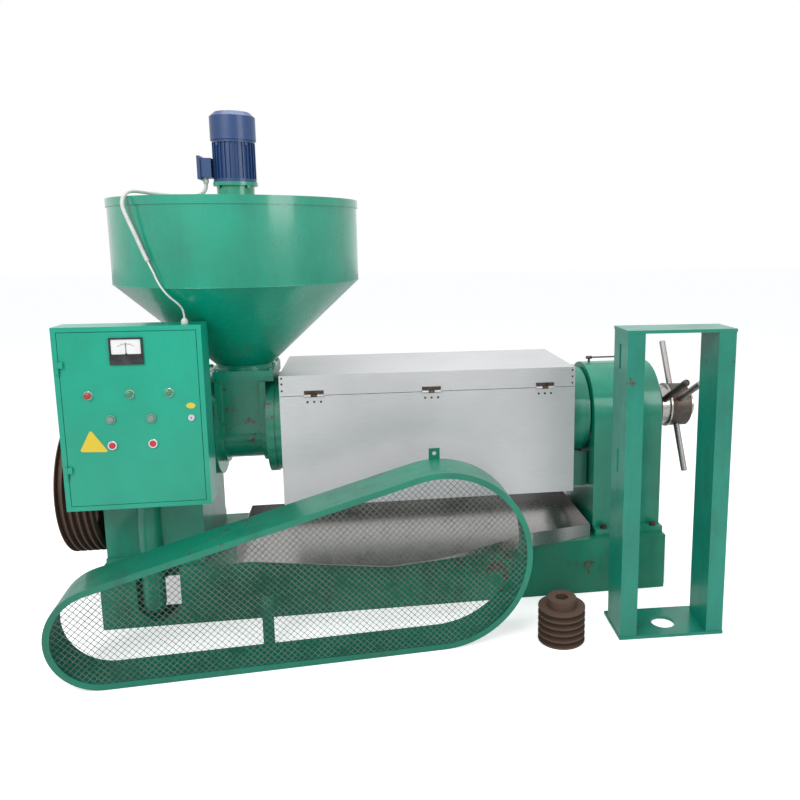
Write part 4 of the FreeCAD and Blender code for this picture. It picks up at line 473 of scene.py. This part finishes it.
NODE_PAINT: dict[str, Paint] = {
    **dict.fromkeys(("feed_housing", "motor_stool"), Paint.HAMMERED),
    **dict.fromkeys(("hopper_shell", "hopper_lid", "hopper_hatch"), Paint.HOPPER),
    **dict.fromkeys(("gearbox_housing", "gearbox_top_cover", "bearing_caps", "discharge_flange",
                     "pedestal", "pedestal_cap", "cake_chute"), Paint.GEARBOX),
    **dict.fromkeys(("base_frame", "cabinet_brackets"), Paint.BASE),
    **dict.fromkeys(("stand_channels", "stand_plates"), Paint.FRAME),
    "guard_band": Paint.GUARD,
    **dict.fromkeys(("cabinet_box", "cabinet_door"), Paint.CABINET),
    **dict.fromkeys(("stirring_motor", "motor_cowl", "motor_terminal_box"), Paint.MOTOR),
    **dict.fromkeys(("press_cover", "cover_door"), Paint.STAINLESS),
    # The tray's darker stainless is painted shade.
    "oil_tray": Paint.TRAY,
    **dict.fromkeys(("gearbox_bearings", "input_shaft", "intermediate_gears", "output_gear", "stirrer",
                     "worm_shaft", "feed_worm", "press_worms", "choke_cone", "cage_bars",
                     "thrust_sleeve", "adjusting_screw", "lock_collar"), Paint.TURNED),
    **dict.fromkeys(("cage_frame_lower", "cage_frame_upper", "clamp_bolts", "adjusting_flange",
                     "adjusting_hub", "cover_hinges", "lubrication_pipe"), Paint.DARK),
    **dict.fromkeys(("drive_pulley", "motor_sheave"), Paint.RUSTY),
    "handle_bars": Paint.BAR,
    "guard_mesh": Paint.WIRE,
    **dict.fromkeys(("ammeter", "meter_needle"), Paint.BLACK),
    "indicator_lamps": Paint.GREEN_LENS,
    **dict.fromkeys(("start_button_left", "start_button_right"), Paint.GREY_GREEN),
    **dict.fromkeys(("stop_button_left", "stop_button_right"), Paint.RED),
    "door_lock": Paint.CHROME,
    **dict.fromkeys(("cable_sleeve", "motor_cable", "cable_glands"), Paint.JACKET),
}


def dress(piece: bpy.types.Object, paint: Paint, body: str) -> bpy.types.Object:
    """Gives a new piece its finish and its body.

    Args:
        piece: the new piece.
        paint: its finish.
        body: name of the body that it moves with.

    Returns:
        The piece.
    """
    piece.data.materials.clear()
    piece.data.materials.append(paint.material())
    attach(piece, body)
    return piece


# ---------------------------------------------------------------- studio

@dataclass
class Studio:
    """Camera, pale floor and soft lamps."""

    eye: tuple = (-0.1373, -3.2155, 1.5131)
    yaw: float = 0.1503
    pitch: float = 0.1605
    roll: float = -0.0059
    lens: float = 33.814
    shift: tuple = (-0.0880, -0.0507)

    def camera(self) -> None:
        """Stands the camera in front of the machine, looking slightly down and to the right."""
        cy, sy, cp, sp = math.cos(self.yaw), math.sin(self.yaw), math.cos(self.pitch), math.sin(self.pitch)
        forward = Vector((sy * cp, cy * cp, -sp))
        level = Vector((cy, -sy, 0.0))
        rise = level.cross(forward)
        right = level * math.cos(self.roll) + rise * math.sin(self.roll)
        up = rise * math.cos(self.roll) - level * math.sin(self.roll)
        data = bpy.data.cameras.new("camera")
        data.sensor_width = 36
        data.lens = self.lens
        data.shift_x, data.shift_y = self.shift
        data.clip_end = 60
        camera = bpy.data.objects.new("camera", data)
        camera.matrix_world = Matrix((
            (right.x, up.x, -forward.x, self.eye[0]), (right.y, up.y, -forward.y, self.eye[1]),
            (right.z, up.z, -forward.z, self.eye[2]), (0, 0, 0, 1)))
        bpy.context.scene.collection.objects.link(camera)
        bpy.context.scene.camera = camera

    def floor(self) -> None:
        """Lays a large pale floor that shows white to the camera and keeps the shadow."""
        size = 30.0
        floor = mesh_piece("studio_floor", np.array([(-size, -size, -0.001), (size, -size, -0.001),
                                                     (size, size, -0.001), (-size, size, -0.001)]),
                           [(0, 1, 2, 3)], False)
        kit = Nodes("studio_floor")
        kit.shader.inputs["Base Color"].default_value = (0.86, 0.86, 0.86, 1)
        kit.shader.inputs["Roughness"].default_value = 0.9
        kit.shader.inputs["Specular IOR Level"].default_value = 0.1
        glow = kit.tree.nodes.new("ShaderNodeEmission")
        glow.inputs["Color"].default_value = (1, 1, 1, 1)
        glow.inputs["Strength"].default_value = 0.55
        both = kit.tree.nodes.new("ShaderNodeAddShader")
        kit.link(kit.shader, "BSDF", both, 0)
        kit.link(glow, "Emission", both, 1)
        path = kit.tree.nodes.new("ShaderNodeLightPath")
        seen = kit.tree.nodes.new("ShaderNodeMixShader")
        kit.link(path, "Is Camera Ray", seen, "Fac")
        kit.tree.links.new(kit.shader.outputs["BSDF"], seen.inputs[1])
        kit.tree.links.new(both.outputs[0], seen.inputs[2])
        kit.tree.links.new(seen.outputs[0], kit.output.inputs["Surface"])
        floor.data.materials.append(kit.material)

    def world(self) -> None:
        """A white room for the camera and reflections, softer as a light."""
        world = bpy.data.worlds.new("room")
        bpy.context.scene.world = world
        world.use_nodes = True
        tree = world.node_tree
        tree.nodes.clear()
        out = tree.nodes.new("ShaderNodeOutputWorld")
        path = tree.nodes.new("ShaderNodeLightPath")
        shown = tree.nodes.new("ShaderNodeBackground")
        shown.inputs["Color"].default_value = (1, 1, 1, 1)
        shown.inputs["Strength"].default_value = 1.0
        lit = tree.nodes.new("ShaderNodeBackground")
        lit.inputs["Color"].default_value = (0.93, 0.96, 1, 1)
        lit.inputs["Strength"].default_value = 0.5
        any_ray = tree.nodes.new("ShaderNodeMath")
        any_ray.operation = "MAXIMUM"
        tree.links.new(path.outputs["Is Camera Ray"], any_ray.inputs[0])
        tree.links.new(path.outputs["Is Transmission Ray"], any_ray.inputs[1])
        shiny = tree.nodes.new("ShaderNodeMath")
        shiny.operation = "MAXIMUM"
        tree.links.new(any_ray.outputs[0], shiny.inputs[0])
        tree.links.new(path.outputs["Is Glossy Ray"], shiny.inputs[1])
        mix = tree.nodes.new("ShaderNodeMixShader")
        tree.links.new(shiny.outputs[0], mix.inputs[0])
        tree.links.new(lit.outputs[0], mix.inputs[1])
        tree.links.new(shown.outputs[0], mix.inputs[2])
        tree.links.new(mix.outputs[0], out.inputs["Surface"])

    def lamp(self, name: str, place: tuple, target: tuple, size: tuple, power: float) -> None:
        """Hangs one soft rectangular lamp."""
        data = bpy.data.lights.new(name, "AREA")
        data.shape = "RECTANGLE"
        data.size, data.size_y = size
        data.energy = power
        lamp = bpy.data.objects.new(name, data)
        lamp.matrix_world = Matrix.Translation(place) @ (
            Vector(target) - Vector(place)).to_track_quat("-Z", "Y").to_matrix().to_4x4()
        bpy.context.scene.collection.objects.link(lamp)

    def build(self) -> None:
        """Sets the whole studio up."""
        bpy.context.scene.view_settings.view_transform = "Standard"
        self.camera()
        self.floor()
        self.world()
        self.lamp("key", (-2.6, -3.6, 3.6), (0, 0, 0.8), (2.2, 1.6), 120)
        self.lamp("fill", (2.8, -3.2, 2.6), (0.2, 0, 0.8), (2.0, 2.0), 60)
        self.lamp("over", (0.0, 0.3, 4.0), (0, 0, 0), (3.0, 2.0), 70)


# ---------------------------------------------------------------- cable

@dataclass
class Cable:
    """The motor's control cable: a thick sleeve over the hopper rim and the thin cable below it."""

    sleeve_route: tuple = (
        (-0.716, -0.020, 1.733), (-0.716, -0.020, 1.706), (-0.738, -0.056, 1.684), (-0.768, -0.110, 1.677),
        (-0.800, -0.166, 1.677), (-0.832, -0.222, 1.678), (-0.862, -0.276, 1.680), (-0.892, -0.326, 1.684),
        (-0.917, -0.358, 1.684), (-0.933, -0.380, 1.666), (-0.937, -0.389, 1.632), (-0.921, -0.396, 1.590),
        (-0.900, -0.405, 1.543), (-0.881, -0.413, 1.497), (-0.868, -0.421, 1.467), (-0.855, -0.427, 1.439))
    thin_route: tuple = (
        (-0.855, -0.427, 1.439), (-0.84616, -0.43108, 1.41996), (-0.836, -0.437, 1.401),
        (-0.825, -0.442, 1.372), (-0.809, -0.443, 1.342), (-0.792, -0.438, 1.318), (-0.775, -0.427, 1.299),
        (-0.761, -0.412, 1.282), (-0.751, -0.397, 1.258), (-0.751, -0.397, 1.233))
    sleeve_radius: float = 0.007
    thin_radius: float = 0.0034

    def curve(self, name: str, route: tuple, radius: float) -> bpy.types.Object:
        """A round NURBS curve of order 3 along a route.

        Args:
            name: name of the new piece.
            route: control points in metres.
            radius: radius of the round section.

        Returns:
            The curve object.
        """
        data = bpy.data.curves.new(name, "CURVE")
        data.dimensions = "3D"
        data.bevel_depth = radius
        data.bevel_resolution = 4
        data.use_fill_caps = True
        spline = data.splines.new("NURBS")
        spline.points.add(len(route) - 1)
        for point, place in zip(spline.points, route):
            point.co = (*place, 1)
        spline.order_u = 3
        spline.use_endpoint_u = True
        spline.resolution_u = 8
        piece = bpy.data.objects.new(name, data)
        bpy.context.scene.collection.objects.link(piece)
        return piece

    def build(self) -> None:
        sleeve = dress(self.curve("sleeve_curve", self.sleeve_route, self.sleeve_radius), Paint.SLEEVE,
                       ROOT)
        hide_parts("cable_sleeve")
        thin = dress(self.curve("cable_curve", self.thin_route, self.thin_radius), Paint.JACKET, ROOT)
        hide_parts("motor_cable")


# ---------------------------------------------------------------- guard wire

@dataclass
class WireGuard:
    """Woven wire panel of the belt guard, cut to the guard's outline and standing on its turn."""

    corner: tuple = (-1.0177, -0.709)
    turn: float = math.radians(3.36)
    span: float = 1.168
    big: float = 0.341
    small: float = 0.185
    inset: float = 0.005
    pitch: float = 0.0165
    wire: float = 0.00105
    depth: float = 0.0045

    def inside(self, x: np.ndarray, z: np.ndarray) -> np.ndarray:
        """How far points lie inside the outline: the rounded cone between the two circles.

        A point is inside when some circle on the line of centres, with its radius changing evenly
        from the small to the big one, contains it; the best circle is found by sampling the line.

        Args:
            x: distance along the guard from the small circle's centre.
            z: height above the floor.

        Returns:
            Positive distances inside, negative outside.
        """
        share = np.linspace(0, 1, 60)
        radius = self.small + (self.big - self.small) * share
        gap = radius[:, None] - self.inset - np.hypot(
            x[None, :] - self.span * share[:, None], z[None, :] - radius[:, None])
        return gap.max(axis=0)

    def strands(self, lean: float) -> list:
        """Centre lines of the wires that lean one way, each a run of crossing points.

        Args:
            lean: +1 or -1, the sign of the wires' slope.

        Returns:
            Arrays of (x, depth, z) rows.
        """
        half = self.pitch / math.sqrt(2)
        found = []
        for number in range(-60, 200):
            along = np.arange(-80, 200)
            x = (number + along) * half
            z = lean * (along - number) * half + (0.0 if lean > 0 else 1.0)
            keep = (z > -0.05) & (z < 0.75) & (x > -0.2) & (x < 1.55)
            if keep.sum() < 3:
                continue
            x, z, along = x[keep], z[keep], along[keep]
            good = self.inside(x, z) > 0
            if good.sum() < 2:
                continue
            weave = np.where((along + number) % 2 == 0, 1.0, -1.0) * lean * 0.0008
            found.append(np.stack([x, weave + self.depth, z], axis=1)[good])
        return found

    def build(self) -> bpy.types.Object:
        """Sweeps a square section along every wire and stands the panel in its place."""
        points, faces = [], []
        section = np.array([(1, 0), (0, 1), (-1, 0), (0, -1)], float) * self.wire
        count = 0
        for lean in (1.0, -1.0):
            across = np.array([lean, 0.0, -1.0]) / math.sqrt(2)
            for line in self.strands(lean):
                rows = (line[:, None, :] + section[None, :, 0:1] * across
                        + section[None, :, 1:2] * np.array([0.0, 1.0, 0.0])).reshape(-1, 3)
                points.append(rows)
                faces += grid_faces(len(line), 4, close_columns=True, start=count)
                faces.append((count + 3, count + 2, count + 1, count))
                faces.append(tuple(count + 4 * (len(line) - 1) + i for i in range(4)))
                count += len(rows)
        local = np.concatenate(points)
        c, s = math.cos(self.turn), math.sin(self.turn)
        placed = np.stack([self.corner[0] + c * local[:, 0] - s * local[:, 1],
                           self.corner[1] + s * local[:, 0] + c * local[:, 1], local[:, 2]], axis=1)
        piece = mesh_piece("guard_wires", placed, faces)
        fix_normals(piece)
        dress(piece, Paint.WIRE, ROOT)
        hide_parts("guard_mesh")
        return piece


# ---------------------------------------------------------------- adjuster bars

@dataclass
class AdjusterBars:
    """Ribbed bars of the adjusting hub and the plain bar of the lock collar."""

    axis_height: float = 0.750
    hub_x: float = 1.294
    collar_x: float = 1.222
    angle: float = math.radians(28.5)
    radius: float = 0.014
    root: float = 0.062
    reach: float = 0.310
    lock_reach: float = 0.335
    rib_pitch: float = 0.0095
    rib_height: float = 0.0011

    def bar(self, name: str, x: float, direction: tuple, radius: float, reach: float, ribs: bool
            ) -> bpy.types.Object:
        """One bar along a direction square to the axis.

        Radius at a point: r * (1 - rounding at both ends) + a rib that rises and falls along a
        slanting line round the bar, with two plain seams along it.

        Args:
            name: name of the piece.
            x: place along the machine.
            direction: (y, z) direction of the bar.
            radius: radius of the bar.
            reach: distance of its outer end from the axis.
            ribs: whether the bar is ribbed.

        Returns:
            The bar.
        """
        length = reach - self.root
        rows = 240 if ribs else 40
        along = np.linspace(0, length, rows)
        turn = np.linspace(0, 2 * np.pi, 24, endpoint=False)
        a, t = np.meshgrid(along, turn, indexing="ij")
        end = np.clip(np.minimum(a, length - a) / 0.003, 0, 1)
        r = (radius - (self.rib_height if ribs else 0)) * (0.86 + 0.14 * np.sqrt(end * (2 - end)))
        if ribs:
            lean = 2 * np.pi * (a / self.rib_pitch) + np.abs(((t % np.pi) - np.pi / 2)) * 2.2
            rib = np.clip(np.cos(lean) * 1.6, 0, 1) * np.clip(np.abs(np.sin(t)) * 3 - 0.35, 0, 1)
            seam = np.clip(np.abs(np.cos(t)) * 8 - 7.2, 0, 1)
            r = r + self.rib_height * np.maximum(rib, seam) * end
        w = np.array([0.0, *direction])
        u = np.array([1.0, 0.0, 0.0])
        v = np.cross(w, u)
        start = np.array([x, 0.0, self.axis_height]) + self.root * w
        points = (start + a[..., None] * w + (r * np.cos(t))[..., None] * u
                  + (r * np.sin(t))[..., None] * v).reshape(-1, 3)
        faces = grid_faces(rows, len(turn), close_columns=True)
        faces.append(tuple(range(len(turn)))[::-1])
        faces.append(tuple(range((rows - 1) * len(turn), rows * len(turn))))
        piece = mesh_piece(name, points, faces)
        fix_normals(piece)
        return dress(piece, Paint.BAR if ribs else Paint.DARK, "adjusting")

    def build(self) -> None:
        """Makes the four ribbed bars and the plain one."""
        made = []
        for index in range(4):
            turn = self.angle + index * math.pi / 2
            made.append(self.bar(f"ribbed_bar_{index}", self.hub_x, (math.sin(turn), math.cos(turn)),
                                 self.radius, self.reach, True))
        made.append(self.bar("lock_bar", self.collar_x, (-math.cos(self.angle), math.sin(self.angle)),
                             0.015, self.lock_reach, False))
        for piece in made:
            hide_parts("handle_bars")


# ---------------------------------------------------------------- cabinet front

@dataclass
class CabinetFront:
    """Meter face, lamp bezels, button bezels, plain plates and the lock's keyway."""

    face: float = -0.456
    body: str = "cabinet_front"
    meter: tuple = (-0.940, 1.128)
    lamps: tuple = ((-1.079, 0.973, Paint.RED_LENS), (-0.940, 0.974, Paint.GREEN_LENS),
                    (-0.807, 0.975, Paint.GREEN_LENS))
    starts: tuple = ((-1.010, 0.885, "start_left"), (-0.873, 0.884, "start_right"))
    stops: tuple = ((-1.011, 0.790, "stop_left"), (-0.873, 0.791, "stop_right"))

    def ring(self, name: str, x: float, z: float, profile: list, paint: Paint, slot: str,
             body: str = "") -> bpy.types.Object:
        """A turned ring or dome on the door, its axis out of the door.

        Args:
            name: name of the piece.
            x: place across the door.
            z: height.
            profile: (distance in front of the door, radius) pairs.
            paint: finish.
            slot: not used.
            body: body it moves with, the door's own when empty.

        Returns:
            The piece.
        """
        piece = turned_surface(name, profile, (x, self.face, z), (0, -1, 0), 32)
        return dress(piece, paint, body or self.body)

    def meter_face(self) -> None:
        """White scale plate with an arc of ticks, and the black lower cover of the meter."""
        x, z = self.meter
        front = self.face - 0.0041
        plate = rounded_plate("meter_scale", (x, z + 0.0155), 0.0495, 0.0265, 0.003, front, front + 0.0008)
        dress(plate, Paint.WHITE, self.body)
        pivot = z - 0.0135
        shares = np.linspace(-1, 1, 21)
        points, faces = [], []
        for number, share in enumerate(shares):
            angle = share * math.radians(40)
            long = 0.006 if number % 5 == 0 else 0.0035
            way = np.array([math.sin(angle), math.cos(angle)])
            side = np.array([way[1], -way[0]]) * (0.0005 if number % 5 == 0 else 0.0003)
            inner, outer = 0.0385 * way, (0.0385 + long) * way
            base = len(points)
            for place in (inner - side, outer - side, outer + side, inner + side):
                points.append((x + place[0], front - 0.0002, pivot + place[1]))
            faces.append((base, base + 1, base + 2, base + 3))
        arc = np.linspace(-1, 1, 40) * math.radians(40)
        base = len(points)
        for radius in (0.0381, 0.0386):
            points += [(x + radius * math.sin(a), front - 0.0002, pivot + radius * math.cos(a)) for a in arc]
        faces += [tuple(q) for q in grid_faces(2, 40, start=base)]
        ticks = mesh_piece("meter_ticks", np.array(points), faces, False)
        dress(ticks, Paint.BLACK, self.body)
        lower = rounded_plate("meter_lower", (x, z - 0.0305), 0.0545, 0.0150, 0.003, self.face - 0.0098,
                              self.face - 0.0075)
        dress(lower, Paint.BLACK, self.body)

    def build(self) -> None:
        """Makes all fittings of the door."""
        self.meter_face()
        for number, (x, z, paint) in enumerate(self.lamps):
            self.ring(f"lamp_bezel_{number}", x, z, [
                (0.0, 0.0158), (0.003, 0.0158), (0.0042, 0.0148), (0.0042, 0.0125), (0.003, 0.0122)],
                Paint.CHROME, "chrome_trim")
            self.ring(f"lamp_dome_{number}", x, z, [
                (0.0030, 0.0122), (0.009, 0.0122), (0.0121, 0.0112), (0.0142, 0.0085), (0.0152, 0.0045),
                (0.0154, 0.0012)], paint, "lamp_lens")
        for number, (x, z, body) in enumerate(self.starts):
            self.ring(f"start_bezel_{number}", x, z, [
                (0.0, 0.0165), (0.0055, 0.0165), (0.0068, 0.0155), (0.0068, 0.0119), (0.005, 0.0117)],
                Paint.GREY_GREEN, "button_green")
            self.ring(f"start_cap_{number}", x, z, [
                (0.006, 0.0106), (0.0092, 0.0106), (0.0102, 0.0096), (0.0102, 0.002)], Paint.GREY_GREEN,
                "button_green", body)
        for number, (x, z, body) in enumerate(self.stops):
            self.ring(f"stop_bezel_{number}", x, z, [
                (0.0, 0.0165), (0.0055, 0.0165), (0.0068, 0.0155), (0.0068, 0.0119), (0.005, 0.0117)],
                Paint.CHROME, "chrome_trim")
            self.ring(f"stop_cap_{number}", x, z, [
                (0.006, 0.0106), (0.0092, 0.0106), (0.0102, 0.0096), (0.0102, 0.002)], Paint.RED,
                "button_red", body)
        lock_ring = self.ring("lock_rose", -0.736, 0.880, [
            (0.0, 0.0120), (0.0045, 0.0120), (0.0055, 0.0110), (0.0055, 0.0004)], Paint.CHROME,
            "chrome_trim", "lock")
        LOG.info("lock piece %s", lock_ring.name)
        key = rounded_plate("lock_keyway", (-0.736, 0.880), 0.0012, 0.0048, 0.0008, self.face - 0.0059,
                            self.face - 0.0053, 4)
        dress(key, Paint.BLACK, "lock")
        self.plates()

    def plates(self) -> None:
        """Plain yellow plates: an oval beside the lock and a triangle below the red lamp."""
        t = np.linspace(0, 2 * np.pi, 40, endpoint=False)
        oval = np.stack([-0.736 + 0.0155 * np.cos(t), 0.924 + 0.0105 * np.sin(t)], axis=1)
        corners = np.array([(-1.123, 0.770), (-1.026, 0.766), (-1.082, 0.849)])
        edge = np.concatenate([
            corners[i] + (corners[(i + 1) % 3] - corners[i]) * np.linspace(0.07, 0.93, 8)[:, None]
            for i in range(3)])
        for name, outline in (("oval_plate", oval), ("triangle_plate", edge)):
            count = len(outline)
            rings = [np.stack([outline[:, 0], np.full(count, y), outline[:, 1]], axis=1)
                     for y in (self.face + 0.0002, self.face - 0.0005)]
            faces = grid_faces(2, count, close_columns=True)
            faces += [tuple(range(count))[::-1], tuple(range(count, 2 * count))]
            piece = mesh_piece(name, np.concatenate(rings), faces, False)
            fix_normals(piece)
            dress(piece, Paint.YELLOW, self.body)


# ---------------------------------------------------------------- small hardware

@dataclass
class Hardware:
    """Rivets and screws of the hood, bolts of the flanges and seams of the hopper."""

    def dots(self, name: str, places: list, axis: tuple, radius: float, height: float, paint: Paint,
             body: str, sides: int = 12, lobes: bool = False) -> bpy.types.Object:
        """Many small turned heads as one piece: low domes, or hexagons when lobes is set.

        Args:
            name: name of the piece.
            places: centres of the heads' feet.
            axis: direction the heads stand out.
            radius: radius of a head.
            height: how far it stands out.
            paint: finish.
            body: body it moves with.
            sides: points round a head.
            lobes: whether the heads are hexagons.

        Returns:
            The piece.
        """
        w = np.array(axis, float) / np.linalg.norm(axis)
        u = np.cross(w, (0.0, 0.0, 1.0) if abs(w[2]) < 0.9 else (1.0, 0.0, 0.0))
        u /= np.linalg.norm(u)
        v = np.cross(w, u)
        sides = 6 if lobes else sides
        angle = np.arange(sides) * 2 * np.pi / sides
        ring = np.cos(angle)[:, None] * u + np.sin(angle)[:, None] * v
        profile = ((-0.0004, 1.0), (0.7 * height, 1.0), (height, 0.8)) if lobes else (
            (-0.0004, 1.0), (0.45 * height, 0.92), (0.85 * height, 0.6), (height, 0.15))
        head = np.concatenate([rise * w + radius * wide * ring for rise, wide in profile])
        points, faces = [], []
        for number, place in enumerate(places):
            start = number * len(head)
            points.append(np.array(place) + head)
            faces += grid_faces(len(profile), sides, close_columns=True, start=start)
            faces.append(tuple(start + i for i in range(sides))[::-1])
            faces.append(tuple(start + (len(profile) - 1) * sides + i for i in range(sides)))
        piece = mesh_piece(name, np.concatenate(points), faces, not lobes)
        fix_normals(piece)
        return dress(piece, paint, body)

    def weld(self, name: str, centre: tuple, radius: float, height: float, thick: float, paint: Paint) -> bpy.types.Object:
        """Weld bead round the hopper: a torus whose thickness ripples along its way."""
        t = np.linspace(0, 2 * np.pi, 360, endpoint=False)
        s = np.linspace(0, 2 * np.pi, 8, endpoint=False)
        a, b = np.meshgrid(t, s, indexing="ij")
        r = thick * (1 + 0.14 * np.sin(90 * a) + 0.08 * np.sin(37 * a + 1))
        points = np.stack([centre[0] + (radius + r * np.cos(b)) * np.cos(a),
                           centre[1] + (radius + r * np.cos(b)) * np.sin(a),
                           height + r * np.sin(b)], axis=-1).reshape(-1, 3)
        piece = mesh_piece(name, points, grid_faces(360, 8, True, True))
        fix_normals(piece)
        return dress(piece, paint, ROOT)

    def build(self) -> None:
        """Makes every small piece."""
        hinge_x = (-0.313, 0.1515, 0.621)
        holes = [(x + dx, -0.2561, 0.8775) for x in hinge_x for dx in (-0.026, 0.0, 0.026)]
        self.dots("hinge_screws_door", holes, (0, -1, 0), 0.0048, 0.0018, Paint.DARK, "cover_flap")
        upper = [(x + dx, -0.2581, 0.917) for x in hinge_x for dx in (-0.026, 0.0, 0.026)]
        self.dots("hinge_screws_hood", upper, (0, -1, 0), 0.0042, 0.0016, Paint.DARK, ROOT)
        ends = [(-0.436, -0.2561, z) for z in (0.975, 0.952, 0.925)] + [
            (0.738, -0.2561, z) for z in (0.972, 0.945, 0.918)]
        self.dots("hood_rivets", ends, (0, -1, 0), 0.0045, 0.0018, Paint.DARK, ROOT)
        self.weld("hopper_weld_low", (-0.605, 0.0), 0.1145, 1.0025, 0.0022, Paint.HOPPER)
        self.weld("hopper_weld_high", (-0.605, 0.0), 0.4788, 1.3445, 0.0020, Paint.HOPPER)
        neck = [(-0.595 + dx, dy, 0.9909) for dx in (-0.105, 0.105) for dy in (-0.135, 0.0, 0.135)]
        self.dots("neck_bolts", neck, (0, 0, 1), 0.0095, 0.009, Paint.HAMMERED, ROOT,
                  lobes=True)


# ---------------------------------------------------------------- carried-over solids

def paint_solids() -> None:
    """Gives every carried-over solid its finish."""
    frame_nodes = [o for o in bpy.data.objects if o.name in NODE_PAINT]
    for piece in frame_nodes:
        paint = NODE_PAINT[piece.name]
        piece.data.materials.clear()
        piece.data.materials.append(paint.material())
        LOG.info("finish %s on %s", paint.value.name, piece.name)


def main() -> None:
    """Builds the studio, the finishes and every new piece in order."""
    logging.basicConfig(level=logging.INFO, format="%(message)s")
    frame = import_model()
    LOG.info("%d solids loaded", len(frame["nodes"]))
    Studio().build()
    Cable().build()
    paint_solids()
    WireGuard().build()
    AdjusterBars().build()
    CabinetFront().build()
    Hardware().build()


if __name__ == "__main__":
    main()
